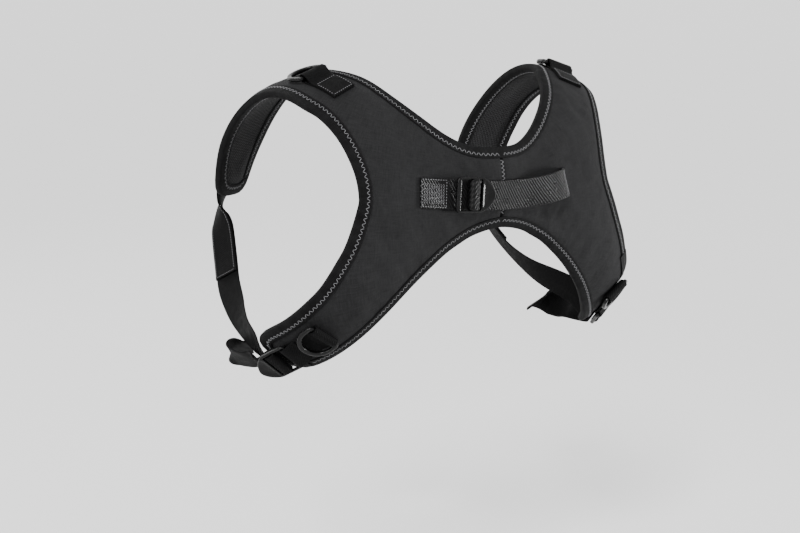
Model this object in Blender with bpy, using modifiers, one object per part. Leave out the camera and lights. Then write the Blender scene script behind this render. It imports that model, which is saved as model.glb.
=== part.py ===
"""Padded shoulder harness: an X-shaped back yoke, its webbing, D-rings and ladder-lock buckles.

The wearer faces -Y, the wearer's left is +X and +Z is up. Lengths in this file are millimetres
until an object is made, and Blender's metres from there on. The origin lies on the yoke's centre
seam, between the shoulder blades. The left half is designed, and the right half mirrors it.
"""
import math

import bmesh
import bpy
import numpy as np
from mathutils import Matrix, Vector
from mathutils.geometry import delaunay_2d_cdt

MM = 0.001

# Outline of the left half, on the outer face: each edge from the yoke's centre or chest end onwards
NECK_EDGE = [(0, -2, 41.5), (24, -8, 42), (45, -16, 51.5), (65, -27, 68), (82, -43, 84), (95, -64, 98),
             (106, -84, 104), (112, -106, 104), (115, -140, 93), (116, -172, 71), (117, -201, 42),
             (120, -221, 14), (124, -231, -12)]
ARM_EDGE = [(163, -205, -12), (166, -198, 12), (168, -186, 36), (167, -166, 60), (165, -140, 77),
            (164, -112, 86), (162, -84, 86), (158, -60, 79), (150, -46, 70), (141, -31, 52),
            (135, -18, 28), (134, -12, 8), (137, -11, -4), (148, -10, -30), (156, -13, -45),
            (167, -20, -65), (178, -29, -80), (187, -46, -95), (191, -66, -105), (192, -86, -115)]
HEM_EDGE = [(158, -72, -144), (146, -52, -136), (128, -34, -118), (108, -19, -96), (84, -11, -71),
            (57, -6, -49), (41, -5, -39.5), (24, -3, -32), (0, -1, -28)]
# Points that set how far the pad stands out between its edges: over the shoulder and along the wing
CROWN = [(133, -84, 96), (161.5, -26, -98.6), (174.3, -54.3, -120.2)]
CHEST_CENTRE = np.array((0.0, -115.0, -30.0))
SURFACE_SMOOTHING = 0.004
TIP_RADIUS = 17.0
SAMPLE_STEP = 15.0
INSIDE_STEP = 0.125

# Layers of the pad: (outer edge, binding's inner edge, middle) heights above the outline's surface
FACE_HEIGHT = (0.0, 0.8, 1.5)
BACK_DEPTH = (4.3, 5.6, 6.6)
FACE_THICKNESS = 0.8
LINING_THICKNESS = 1.1
GAP = 0.3
SEAM_GAP = 0.4
BINDING_WIDTH = 9.0
BINDING_THICKNESS = 0.8
EDGE_INSET = GAP + BINDING_THICKNESS + GAP

# Webbing and hardware
WEB_WIDTH = 25.0
WEB_THICKNESS = 1.4
WEB_HALF = WEB_THICKNESS / 2
WEB_LIFT = FACE_HEIGHT[2] + GAP + WEB_HALF + 0.2
RING_STOCK = 3.6
RING_WRAP = RING_STOCK / 2 + 0.9 + WEB_HALF
RING_INSIDE = 27.0
RING_REACH = 24.0
LOCK_THICKNESS = 3.2
LOCK_WRAP = LOCK_THICKNESS / 2 + 0.7 + WEB_HALF
LOCK_WIDTH = 29.5
LABEL_THICKNESS = 0.7
LABEL_START = 57
SIDES = (("left", 1), ("right", -1))

# Where the hardware sits on the left half: a point on the bar, then the point it reaches towards
SHOULDER_PATCH = (122.5, -53, 87)
SHOULDER_BAR = (133.5, -82, 100)
WING_RING_BAR = (161.8, -24, -106)
WING_LOCK_BAR = (175, -52.7, -126)
WING_LOCK_TIP = (186, -85.7, -139.7)
LOCK_TILT = math.radians(8)
RING_LIFT = WEB_LIFT + RING_WRAP + 0.1
LOCK_LIFT = WEB_LIFT + LOCK_WRAP + 0.1
# The ladder-lock's two slots, each from and to a distance ahead of its rear bar
LOCK_SLOTS = ((2.0, 12.2), (18.4, 22.0))

# Side strap: points on its centre line after it leaves the pad's chest end, with the direction
# from its lower edge to its upper edge
CHEST_PATCH = ((142, -214, 24), (144, -220, -6))
SIDE_STRAP = [((146, -226, -26), (0.35, 0.9, 0.1)), ((149, -219, -43), (-0.35, 0.88, 0.25)),
              ((155, -203, -68), (-0.46, 0.7, 0.43)), ((163, -183, -89), (-0.43, 0.59, 0.5)),
              ((170, -158, -104.5), (-0.3, 0.42, 0.72)), ((176, -136, -112.5), (-0.05, 0.35, 0.93)),
              ((180.5, -117, -118), (0.15, 0.2, 0.96)), ((182.5, -99, -124), (0.3, 0.14, 0.94))]

# Loose end of the side strap: points on its centre line, once clear of the lock's tab
TAIL = [((180.5, -102, -138), 0.5), ((183, -117, -141), 1), ((185, -130, -141), 1),
        ((185.5, -141, -140), 1), ((183, -145, -138), 1), ((177.5, -146, -136), 1),
        ((171, -146, -137), 1), ((165, -141, -138), 1)]
TAIL_ACROSS = np.array((0.46, 0.66, 0.6))

# Back strap: distance across the back, height up it and lift off it
BACK_STRAP = [(82, 7.2, 0), (74, 6.3, 0), (66, 5.4, 0), (52, 4.0, 0), (38, 2.9, 0), (24, 2.2, 0),
              (10, 1.6, 0), (-6, 1.2, 0), (-20, 1.2, 2.5), (-34, 1.6, 7.0), (-48, 2.8, 10.6),
              (-57, 3.8, 11.0), (-64, 4.7, 9.0), (-68, 5.2, 5.0), (-70, 5.4, 1.3), (-72.5, 5.6, 0),
              (-75, 5.8, 0)]
BACK_STRAP_LIFT = WEB_LIFT + 0.5
BACK_LOCK_CENTRE = (48.5, 3.3)
BACK_LOCK_LIFT = BACK_STRAP_LIFT + WEB_HALF + 2.6 + LOCK_THICKNESS / 2

COLOURS = {
    "face_fabric": ((0.045, 0.045, 0.048), 0.9),
    "foam": ((0.16, 0.16, 0.16), 0.95),
    "mesh_lining": ((0.03, 0.03, 0.032), 0.95),
    "binding": ((0.012, 0.012, 0.013), 0.75),
    "webbing": ((0.018, 0.018, 0.02), 0.7),
    "hardware": ((0.02, 0.02, 0.022), 0.35),
    "label": ((0.008, 0.008, 0.009), 0.6),
}


# ---------------------------------------------------------------- shape of the wearer's torso

def mirrored(points):
    """Points reflected to the right half."""
    return [(-x, y, z) for x, y, z in points]


class Torso:
    """A smooth surface through both halves' outlines, as a radius for each direction from the chest."""

    def __init__(self, points):
        offsets = np.array(points, float) - CHEST_CENTRE
        radii = np.linalg.norm(offsets, axis=1)
        self.sources = offsets / radii[:, None]
        count = len(radii)
        plane = np.hstack([np.ones((count, 1)), self.sources])
        system = np.zeros((count + 4, count + 4))
        system[:count, :count] = self.distances(self.sources) ** 3
        system[:count, :count] += SURFACE_SMOOTHING * np.eye(count)
        system[:count, count:] = plane
        system[count:, :count] = plane.T
        self.weights = np.linalg.solve(system, np.concatenate([radii, np.zeros(4)]))

    def distances(self, directions):
        return np.linalg.norm(directions[:, None] - self.sources[None], axis=2)

    def along(self, directions):
        """Surface points in the given directions from the chest's centre."""
        directions = directions / np.linalg.norm(directions, axis=1)[:, None]
        terms = np.hstack([self.distances(directions) ** 3, np.ones((len(directions), 1)), directions])
        return CHEST_CENTRE + directions * (terms @ self.weights)[:, None]

    def nearest(self, points):
        """Surface points and outward normals for points close to the surface."""
        points = np.atleast_2d(np.array(points, float))
        found = self.along(points - CHEST_CENTRE)
        for _ in range(3):
            normals = self.normals(found)
            slip = points - found
            slip -= (slip * normals).sum(axis=1)[:, None] * normals
            found = self.along(found + slip - CHEST_CENTRE)
        return found, self.normals(found)

    def normals(self, points):
        directions = points - CHEST_CENTRE
        directions = directions / np.linalg.norm(directions, axis=1)[:, None]
        side = np.cross(directions, (0.3, 0.2, 0.93))
        side /= np.linalg.norm(side, axis=1)[:, None]
        rise = np.cross(directions, side)
        step = 0.01
        across = self.along(directions + step * side) - self.along(directions - step * side)
        upward = self.along(directions + step * rise) - self.along(directions - step * rise)
        normals = np.cross(across, upward)
        normals /= np.linalg.norm(normals, axis=1)[:, None]
        return normals * np.sign((normals * directions).sum(axis=1))[:, None]


LEFT_OUTLINE = NECK_EDGE + ARM_EDGE + HEM_EDGE + CROWN
TORSO = Torso(LEFT_OUTLINE + mirrored([p for p in LEFT_OUTLINE if p[0] > 0]))


def smooth_curve(points, before, after, count=12):
    """Catmull-Rom curve through points, given the imaginary points before its start and after its end."""
    points = [np.array(p, float) for p in [before, *points, after]]
    curve = []
    for a, b, c, d in zip(points, points[1:], points[2:], points[3:]):
        for i in range(count):
            t = i / count
            curve.append(0.5 * (2 * b + (c - a) * t + (2 * a - 5 * b + 4 * c - d) * t ** 2
                                + (3 * b - a - 3 * c + d) * t ** 3))
    curve.append(points[-2])
    return np.array(curve)


def beyond(inner, end):
    """The imaginary point that carries a curve on past its end."""
    return tuple(2 * e - i for i, e in zip(inner, end))


def resampled(curve, start, stop, step):
    """Points spaced evenly along a curve, from start to stop in mm of its length."""
    lengths = np.concatenate([[0], np.cumsum(np.linalg.norm(np.diff(curve, axis=0), axis=1))])
    stop = lengths[-1] + stop if stop <= 0 else stop
    count = max(2, round((stop - start) / step) + 1)
    at = np.linspace(start, stop, count)
    return np.stack([np.interp(at, lengths, curve[:, i]) for i in range(3)], axis=1)


def fillet(before, corner, after, count=3):
    """Points that round a corner, between the last point of one edge and the first of the next."""
    steps = [(i + 1) / (count + 1) for i in range(count)]
    return np.array([(1 - t) ** 2 * before + 2 * t * (1 - t) * corner + t ** 2 * after for t in steps])


def bound_edge():
    """The left half's bound edge, as three runs: neck, armhole with both tips, and hem."""
    neck = smooth_curve(NECK_EDGE, mirrored([NECK_EDGE[1]])[0], beyond(NECK_EDGE[-2], NECK_EDGE[-1]))
    arm = smooth_curve(ARM_EDGE, beyond(ARM_EDGE[1], ARM_EDGE[0]), beyond(ARM_EDGE[-2], ARM_EDGE[-1]))
    hem = smooth_curve(HEM_EDGE, beyond(HEM_EDGE[1], HEM_EDGE[0]), mirrored([HEM_EDGE[-2]])[0])
    neck_run = resampled(neck, 0, -TIP_RADIUS, SAMPLE_STEP)
    hem_run = resampled(hem, TIP_RADIUS, 0, SAMPLE_STEP)
    arm_run = resampled(arm, TIP_RADIUS, -TIP_RADIUS, SAMPLE_STEP)
    chest_tip = rounded_tip(neck_run[-1], neck[-1], arm[0], arm_run[0])
    wing_tip = rounded_tip(arm_run[-1], arm[-1], hem[0], hem_run[0])
    along_neck = (neck_run[-1] - neck_run[-2]) / np.linalg.norm(neck_run[-1] - neck_run[-2])
    along_hem = (hem_run[1] - hem_run[0]) / np.linalg.norm(hem_run[1] - hem_run[0])
    arm_run = np.vstack([neck_run[-1] + GAP * along_neck, chest_tip, arm_run, wing_tip,
                         hem_run[0] - GAP * along_hem])
    return [TORSO.nearest(run)[0] for run in (neck_run, arm_run, hem_run)]


def rounded_tip(last, corner, next_corner, first):
    """Both corners of a tip, rounded, with the straight stretch between them."""
    across = (next_corner - corner) / np.linalg.norm(next_corner - corner)
    start = corner + TIP_RADIUS * across
    stop = next_corner - TIP_RADIUS * across
    return np.vstack([fillet(last, corner, start), start, stop, fillet(stop, next_corner, first)])


NECK_RUN, ARM_RUN, HEM_RUN = bound_edge()
EDGE = np.vstack([NECK_RUN, ARM_RUN, HEM_RUN])
EDGE_NORMALS = TORSO.nearest(EDGE)[1]


def inward_directions():
    """Unit directions in the surface from each edge point into the pad."""
    padded = np.vstack([EDGE[1] * (-1, 1, 1), EDGE, EDGE[-2] * (-1, 1, 1)])
    ahead, behind = padded[2:] - EDGE, EDGE - padded[:-2]
    ahead_length = np.linalg.norm(ahead, axis=1)[:, None]
    behind_length = np.linalg.norm(behind, axis=1)[:, None]
    along = behind / behind_length * ahead_length + ahead / ahead_length * behind_length
    inward = np.cross(EDGE_NORMALS, along)
    return inward / np.linalg.norm(inward, axis=1)[:, None]


INWARD = inward_directions()
INSET, INSET_NORMALS = TORSO.nearest(EDGE + EDGE_INSET * INWARD)
RING, RING_NORMALS = TORSO.nearest(EDGE + (EDGE_INSET + BINDING_WIDTH) * INWARD)


def angles(points):
    """A flat map of the surface, in radians about the chest: it only serves to place triangles."""
    offsets = np.atleast_2d(points) - CHEST_CENTRE
    flat = np.hypot(offsets[:, 0], offsets[:, 1])
    return np.stack([np.arctan2(offsets[:, 0], offsets[:, 1]), np.arctan2(offsets[:, 2], flat)], axis=1)


def inside(point, polygon):
    """Whether a flat point lies inside a closed outline."""
    crossings = 0
    for (x0, y0), (x1, y1) in zip(polygon, np.roll(polygon, -1, axis=0)):
        if (y0 > point[1]) != (y1 > point[1]):
            crossings += point[0] < x0 + (point[1] - y0) * (x1 - x0) / (y1 - y0)
    return crossings % 2 == 1


def pad_mesh():
    """Surface points of the left half, each one's row in the height tables, and the faces."""
    seam = np.linspace(RING[-1], RING[0], 5)[1:-1]
    outer = INSET.copy()
    ring = np.vstack([RING, TORSO.nearest(seam)[0]])
    outer[[0, -1], 0] = SEAM_GAP / 2
    ring[[0, len(RING) - 1], 0] = SEAM_GAP / 2
    ring[len(RING):, 0] = SEAM_GAP / 2
    border = angles(ring)
    low, high = border.min(axis=0), border.max(axis=0)
    middle = []
    for row, y in enumerate(np.arange(low[1], high[1], INSIDE_STEP * 0.87)):
        for x in np.arange(low[0] + (row % 2) * INSIDE_STEP / 2, high[0], INSIDE_STEP):
            clear = np.linalg.norm(border - (x, y), axis=1).min() > INSIDE_STEP * 0.5
            if clear and inside((x, y), border):
                middle.append((x, y))
    flat = [Vector(p) for p in [*border, *middle]]
    faces = delaunay_2d_cdt(flat, [], [list(range(len(border)))], 1, 1e-6)[2]
    middle = np.array(middle)
    directions = np.stack([np.sin(middle[:, 0]) * np.cos(middle[:, 1]),
                           np.cos(middle[:, 0]) * np.cos(middle[:, 1]), np.sin(middle[:, 1])], axis=1)
    points = np.vstack([outer, ring, TORSO.along(directions)])
    rows = [0] * len(outer) + [1] * len(ring) + [2] * len(middle)
    count = len(outer)
    faces = [[i + count for i in face] for face in faces]
    faces += [[i, i + 1, i + 1 + count, i + count] for i in range(count - 1)]
    return points, TORSO.normals(points), np.array(rows), faces


PAD_POINTS, PAD_NORMALS, PAD_ROWS, PAD_FACES = pad_mesh()


# ---------------------------------------------------------------- making objects

def clear_scene():
    for item in list(bpy.data.objects):
        bpy.data.objects.remove(item)


def make_collection(name):
    collection = bpy.data.collections.new(name)
    bpy.context.scene.collection.children.link(collection)
    return collection


def material(slot):
    found = bpy.data.materials.get(slot)
    if found:
        return found
    colour, roughness = COLOURS[slot]
    made = bpy.data.materials.new(slot)
    made.use_nodes = True
    shader = made.node_tree.nodes["Principled BSDF"]
    shader.inputs["Base Color"].default_value = (*colour, 1)
    shader.inputs["Roughness"].default_value = roughness
    shader.inputs["Metallic"].default_value = 0
    return made


def new_object(name, data, slot, parent=None):
    thing = bpy.data.objects.new(name, data)
    PARTS.objects.link(thing)
    data.materials.append(material(slot))
    thing.parent = parent
    return thing


def mesh_from(name, points, faces):
    """A mesh from points in mm, closed shapes facing out."""
    mesh = bpy.data.meshes.new(name)
    shape = bmesh.new()
    corners = [shape.verts.new(Vector(p) * MM) for p in points]
    for face in faces:
        shape.faces.new([corners[i] for i in face])
    bmesh.ops.recalc_face_normals(shape, faces=shape.faces)
    shape.to_mesh(mesh)
    shape.free()
    mesh.shade_smooth()
    mesh.set_sharp_from_angle(angle=math.radians(50))
    return mesh


def pad_layer(name, slot, top, bottom, sign):
    """One layer of the pad between two heights over the surface, each given for the mesh's three rows."""
    flip = np.array((sign, 1, 1))
    upper = PAD_POINTS + PAD_NORMALS * np.array(top)[PAD_ROWS][:, None]
    lower = PAD_POINTS + PAD_NORMALS * np.array(bottom)[PAD_ROWS][:, None]
    count = len(upper)
    used = {}
    for face in PAD_FACES:
        for a, b in zip(face, face[1:] + face[:1]):
            used[frozenset((a, b))] = used.get(frozenset((a, b)), 0) + 1
    faces = PAD_FACES + [[i + count for i in face] for face in PAD_FACES]
    for rim, times in used.items():
        if times == 1:
            a, b = sorted(rim)
            faces.append([a, b, b + count, a + count])
    return new_object(name, mesh_from(name, np.vstack([upper, lower]) * flip, faces), slot)


def loft(name, slot, sections):
    """A closed solid through sections with the same number of corners."""
    size = len(sections[0])
    faces = [list(range(size)), [i + (len(sections) - 1) * size for i in range(size)]]
    for s in range(len(sections) - 1):
        for i in range(size):
            j = (i + 1) % size
            faces.append([s * size + i, s * size + j, (s + 1) * size + j, (s + 1) * size + i])
    return new_object(name, mesh_from(name, [p for section in sections for p in section], faces), slot)


def binding_section(index, sign=1):
    """Folded tape around the pad's edge: out along the face, round the edge and back along the lining."""
    edge, ring = INSET[index], RING[index]
    up, ring_up, out = INSET_NORMALS[index], RING_NORMALS[index], -INWARD[index]
    tape = GAP + BINDING_THICKNESS
    section = [
        ring + ring_up * (FACE_HEIGHT[1] + GAP),
        edge + up * (FACE_HEIGHT[0] + GAP) + out * GAP,
        edge - up * (BACK_DEPTH[0] + GAP) + out * GAP,
        ring - ring_up * (BACK_DEPTH[1] + GAP),
        ring - ring_up * (BACK_DEPTH[1] + tape),
        edge - up * (BACK_DEPTH[0] + tape * 0.7) + out * tape * 0.7,
        edge - up * BACK_DEPTH[0] * 0.5 + out * tape * 1.3,
        edge + up * (FACE_HEIGHT[0] + tape * 0.7) + out * tape * 0.7,
        ring + ring_up * (FACE_HEIGHT[1] + tape),
    ]
    flip = np.array((sign, 1, 1))
    return [p * flip for p in section]


def bindings():
    neck = range(len(NECK_RUN))
    arm = range(len(NECK_RUN), len(NECK_RUN) + len(ARM_RUN))
    hem = range(len(NECK_RUN) + len(ARM_RUN), len(EDGE))
    right_neck = [binding_section(i, -1) for i in reversed(neck[1:])]
    loft("neck_binding", "binding", right_neck + [binding_section(i) for i in neck])
    right_hem = [binding_section(i, -1) for i in reversed(hem[:-1])]
    loft("hem_binding", "binding", [binding_section(i) for i in hem] + list(right_hem))
    for side, sign in SIDES:
        loft(f"{side}_armhole_binding", "binding", [binding_section(i, sign) for i in arm])


# ---------------------------------------------------------------- webbing

def ribbon(name, centres, across, sign=1, width=WEB_WIDTH, thickness=WEB_THICKNESS, slot="webbing"):
    """Flat webbing along a centre line: an open strip given its thickness by Solidify."""
    flip = np.array((sign, 1, 1))
    across = np.array(across) / np.linalg.norm(across, axis=1)[:, None] * width / 2
    points = np.concatenate([np.array(centres) + across, np.array(centres) - across]) * flip
    count = len(centres)
    faces = [[i, i + 1, i + 1 + count, i + count] for i in range(count - 1)]
    thing = new_object(name, mesh_from(name, points, faces), slot)
    solid = thing.modifiers.new("Thickness", "SOLIDIFY")
    solid.thickness = thickness * MM
    solid.offset = 0
    solid.use_even_offset = True
    return thing


def on_pad(point, lift):
    """The point of the surface nearest to another, raised off it."""
    found, normal = TORSO.nearest(point)
    return found[0] + normal[0] * lift


def pad_route(start, stop, lift, stop_across=None, step=9.0):
    """Centre line and across directions of webbing that lies on the pad between two points."""
    start, stop = np.array(start, float), np.array(stop, float)
    count = max(2, round(np.linalg.norm(stop - start) / step) + 1)
    found, normals = TORSO.nearest(np.linspace(start, stop, count))
    across = np.cross(normals, stop - start)
    across /= np.linalg.norm(across, axis=1)[:, None]
    if stop_across is not None:
        stop_across = stop_across * np.sign(across[-1] @ stop_across)
        turned = np.linspace(0, 1, count)[:, None] ** 2
        across = across * (1 - turned) + stop_across * turned
        across /= np.linalg.norm(across, axis=1)[:, None]
    return list(found + normals * lift), list(across)


class Seat:
    """Where hardware sits on the pad: its bar's centre, with x ahead, y across and z away from the pad."""

    def __init__(self, bar, ahead, lift, tilt=0.0):
        found, normal = TORSO.nearest(bar)
        self.up = normal[0]
        ahead = np.array(ahead, float) - np.array(bar, float)
        ahead -= ahead @ self.up * self.up
        self.ahead = ahead / np.linalg.norm(ahead)
        self.across = np.cross(self.up, self.ahead)
        self.centre = found[0] + self.up * lift
        if tilt:
            ahead = self.ahead * math.cos(tilt) + self.up * math.sin(tilt)
            self.up = np.cross(ahead, self.across)
            self.ahead = ahead

    def at(self, x, z):
        return self.centre + self.ahead * x + self.up * z

    def arc(self, radius, start, stop, count=7):
        """Points round the bar, from one angle in degrees to another: 0 is ahead, 90 is up."""
        turns = [math.radians(start + (stop - start) * i / (count - 1)) for i in range(count)]
        return [self.at(radius * math.cos(t), radius * math.sin(t)) for t in turns]

    def matrix(self, sign):
        """The seat as an object's matrix, on the left or mirrored to the right."""
        flip = np.array((sign, 1, 1))
        ahead, up = Vector(self.ahead * flip), Vector(self.up * flip)
        across = up.cross(ahead)
        turn = Matrix((ahead, across, up)).transposed().to_4x4()
        return Matrix.Translation(Vector(self.centre * flip) * MM) @ turn


SHOULDER_SEAT = Seat(SHOULDER_BAR, (139, -110, 100), RING_LIFT, math.radians(-10))
WING_RING_SEAT = Seat(WING_RING_BAR, WING_LOCK_BAR, RING_LIFT, math.radians(-4))
WING_LOCK_SEAT = Seat(WING_LOCK_BAR, WING_LOCK_TIP, LOCK_LIFT, LOCK_TILT)


def joined(*routes):
    """Several (centres, across) routes as one, with the across directions all on the same side."""
    centres = [p for route in routes for p in route[0]]
    across = [np.array(a, float) for route in routes for a in route[1]]
    for index in range(1, len(across)):
        if across[index] @ across[index - 1] < 0:
            across[index] = -across[index]
    return centres, across


def seat_route(seat, points):
    """A route through points of a seat, its across direction the seat's own."""
    return points, [seat.across] * len(points)


def shoulder_tab(side, sign):
    """Webbing sewn to the shoulder, folded round the D-ring's bar and sewn back on itself."""
    upper_lift = WEB_LIFT + WEB_THICKNESS + GAP
    behind = SHOULDER_SEAT.at(-7, 0)
    across = SHOULDER_SEAT.across
    lower = pad_route(SHOULDER_PATCH, behind, WEB_LIFT, across)
    wrap = seat_route(SHOULDER_SEAT, SHOULDER_SEAT.arc(RING_WRAP, -90, 130, 9))
    upper = pad_route(SHOULDER_PATCH, SHOULDER_SEAT.at(-10, 0), upper_lift, across)
    upper = upper[0][::-1], upper[1][::-1]
    ribbon(f"{side}_shoulder_tab", *joined(lower, wrap, upper), sign)


def wing_webbing(side, sign):
    """Webbing sewn along the wing: a fold round the D-ring's bar, and one round the ladder-lock's."""
    ring, lock = WING_RING_SEAT, WING_LOCK_SEAT
    tucked = seat_route(ring, [ring.at(10, -1.7), ring.at(6.5, -1.2), ring.at(3.3, 1.5)])
    ring_wrap = seat_route(ring, ring.arc(RING_WRAP, 75, 270, 9))
    along = pad_route(ring.at(5, 0), lock.at(-6, 0), WEB_LIFT, lock.across)
    fold = seat_route(lock, lock.arc(LOCK_WRAP + 0.2, -95, 110, 9))
    back = seat_route(lock, [lock.at(-4.5, 1.9), lock.at(-8, -0.1), lock.at(-12, -1.1)])
    ribbon(f"{side}_wing_webbing", *joined(tucked, ring_wrap, along, fold, back), sign)


def side_strap_route():
    lock = WING_LOCK_SEAT
    chest = pad_route(*CHEST_PATCH, WEB_LIFT)
    points = [p for p, _ in SIDE_STRAP] + [lock.at(27, -8.5), lock.at(18, -6.2), lock.at(10.5, -5)]
    across = [a for _, a in SIDE_STRAP] + [-lock.across] * 3
    sides = joined(chest, (points, across))[1]
    centres = smooth_curve(points, chest[0][-1], lock.at(3, -4.5), 3)
    turns = smooth_curve(sides[len(chest[0]):], sides[len(chest[0]) - 1], sides[-1], 3)
    return chest[0] + list(centres), sides[:len(chest[0])] + list(turns), len(chest[0])


def side_strap(side, sign):
    """Strap sewn to the pad's chest end, round under the arm and in below the ladder-lock's tab."""
    centres, across, _ = side_strap_route()
    ribbon(f"{side}_side_strap", centres, across, sign)


def strap_doubler(side, sign):
    """Second layer of webbing, sewn over the strap's first stretch where it leaves the pad."""
    centres, across, start = side_strap_route()
    centres, across = centres[1:start + 9], across[1:start + 9]
    lift = WEB_THICKNESS + 4 * GAP
    ahead = np.gradient(np.array(centres), axis=0)
    outward = np.cross(np.array(across), ahead)
    outward /= np.linalg.norm(outward, axis=1)[:, None]
    outward *= np.sign(outward[0] @ TORSO.nearest(centres[0])[1][0])
    ribbon(f"{side}_strap_doubler", np.array(centres) + outward * lift, across, sign, WEB_WIDTH - 1.5)


def lock_wrap(name, seat, sign, parent):
    """The stretch of strap that passes up through the lock, over its middle bar and down again."""
    inner, outer, top = LOCK_SLOTS[0][1] - 1.9, LOCK_SLOTS[1][0] + 1.9, LOCK_THICKNESS / 2 + 1.1
    profile = [(outer, -2.3), (outer, top - 1.1), (outer - 1.1, top), (inner + 1.1, top),
               (inner, top - 1.1), (inner, -2.3)]
    points = [seat.at(x, z) for x, z in profile]
    thing = ribbon(name, *seat_route(seat, points), sign)
    thing.parent = parent
    thing.matrix_parent_inverse = parent.matrix_world.inverted()


def strap_tail(side, sign):
    """Loose end that leaves between the lock's tab and the strap, and curls back on itself."""
    lock = WING_LOCK_SEAT
    start = [lock.at(20.2, -3.6), lock.at(26, -3.9), lock.at(33, -4.4)]
    points = start + [p for p, _ in TAIL]
    level = -lock.across
    across = [level] * 3 + [level * (1 - turned) + TAIL_ACROSS * turned for _, turned in TAIL]
    centres = smooth_curve(points, lock.at(15, -3.4), TAIL[-1][0], 2)
    turns = smooth_curve(across, across[0], across[-1], 2)
    ribbon(f"{side}_strap_tail", centres, turns, sign)


# ---------------------------------------------------------------- hardware

def flat_outline(name, slot, outlines, thickness, bevel, parent):
    """A moulded plate: 2D outlines in mm, the first its rim and the rest its holes, edges rounded."""
    curve = bpy.data.curves.new(name, "CURVE")
    curve.dimensions = "2D"
    curve.fill_mode = "BOTH"
    curve.extrude = thickness / 2 * MM
    for outline in outlines:
        spline = curve.splines.new("POLY")
        spline.points.add(len(outline) - 1)
        spline.use_cyclic_u = True
        for point, (x, y) in zip(spline.points, outline):
            point.co = (x * MM, y * MM, 0, 1)
    thing = new_object(name, curve, slot, parent)
    weld = thing.modifiers.new("Weld", "WELD")
    weld.merge_threshold = 0.00001
    rounded = thing.modifiers.new("Rounded edges", "BEVEL")
    rounded.width = bevel * MM
    rounded.segments = 2
    rounded.limit_method = "ANGLE"
    rounded.angle_limit = math.radians(50)
    return thing


def d_outline(rear, half_width, straight, reach, corner, count=17):
    """Half a rounded rectangle on the bar's side, closed by half an ellipse ahead."""
    points = []
    for i in range(count):
        turn = math.radians(-90 + 180 * i / (count - 1))
        points.append((straight + (reach - straight) * math.cos(turn), half_width * math.sin(turn)))
    points += [(rear + corner, half_width), (rear, half_width - corner)]
    points += [(rear, corner - half_width), (rear + corner, -half_width)]
    return points


def empty_at(name, matrix):
    pivot = bpy.data.objects.new(name, None)
    PARTS.objects.link(pivot)
    pivot.matrix_world = matrix
    return pivot


def d_ring(name, seat, sign):
    """D-ring: a straight bar for the webbing's fold and a rounded front."""
    stock, half = RING_STOCK, RING_INSIDE / 2
    rim = d_outline(-stock / 2, half + stock, 8, RING_REACH, 3)
    hole = d_outline(stock / 2, half, 8, RING_REACH - stock - 0.6, 0.8)
    pivot = empty_at(f"{name}_axis", seat.matrix(sign))
    flat_outline(name, "hardware", [rim, hole], stock, 0.9, pivot)


def ladder_lock(name, pivot):
    """Frame with a rear bar, a middle bar between two slots, and a pointed thumb tab."""
    half, rail = LOCK_WIDTH / 2, 1.9
    shore = [(0, -half), (22.5, -half), (25.5, 2.2 - half), (29, 5 - half), (32, 9 - half), (34, 12 - half)]
    rim = [(-2, 2 - half), *shore, (34.8, 0), *[(x, -y) for x, y in reversed(shore)], (-2, half - 2)]
    slots = [[(a, rail - half), (b, rail - half), (b, half - rail), (a, half - rail)] for a, b in LOCK_SLOTS]
    flat_outline(name, "hardware", [rim, *slots], LOCK_THICKNESS, 0.7, pivot)


# ---------------------------------------------------------------- centre of the back

def back_line(x, z, lift):
    """A point over the yoke's back, mirrored onto the left half to find the surface."""
    found = on_pad((abs(x), -5, z), lift)
    return np.array((math.copysign(found[0], x), found[1], found[2]))


def back_strap():
    """Strap across the back: sewn at both ends, flat below the lock, and bowed out on the right."""
    centres, across = [], []
    for x, z, lift in BACK_STRAP:
        found, normal = TORSO.nearest((abs(x), -5, z))
        normal = normal[0] * (math.copysign(1, x), 1, 1)
        lean = max(0.0, (-x - 10) / 70)
        side = np.array((0.3 * lean, 0.0, 1.0))
        across.append(side - (side @ normal) * normal)
        centres.append(back_line(x, z, BACK_STRAP_LIFT + lift))
    ribbon("back_strap", centres, across)


def back_seat():
    """The back lock lies level over the strap, its bars upright."""
    seat = Seat((38, 0, 3.0), (-60, 0, 2.0), WEB_LIFT)
    seat.ahead = back_line(12, 1.7, 0) - back_line(52, 3.4, 0)
    seat.ahead /= np.linalg.norm(seat.ahead)
    seat.across = np.array((0.0, 0.0, 1.0))
    seat.across -= seat.across @ seat.ahead * seat.ahead
    seat.across /= np.linalg.norm(seat.across)
    seat.up = np.cross(seat.ahead, seat.across)
    seat.centre = back_line(*BACK_LOCK_CENTRE, BACK_LOCK_LIFT)
    return seat


def back_lock():
    """The ladder-lock on the back strap, which slides along it."""
    seat = back_seat()
    pivot = empty_at("back_lock_slide", seat.matrix(1))
    ladder_lock("back_lock", pivot)
    bpy.context.view_layer.update()
    lock_wrap("back_lock_strap", seat, 1, pivot)


def label():
    """Small blank label folded over the right armhole's binding, on the wing."""
    sections = []
    for index in range(LABEL_START, LABEL_START + 3):
        section = [np.array(p) for p in binding_section(index, -1)]
        up = TORSO.nearest(EDGE[index])[1][0] * (-1, 1, 1)
        inner, outer = section[8] + up * GAP, section[7] + up * GAP
        inner += (inner - outer) * 0.2
        sections.append([inner, outer, outer + up * LABEL_THICKNESS, inner + up * LABEL_THICKNESS])
    loft("edge_label", "label", sections)


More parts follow.
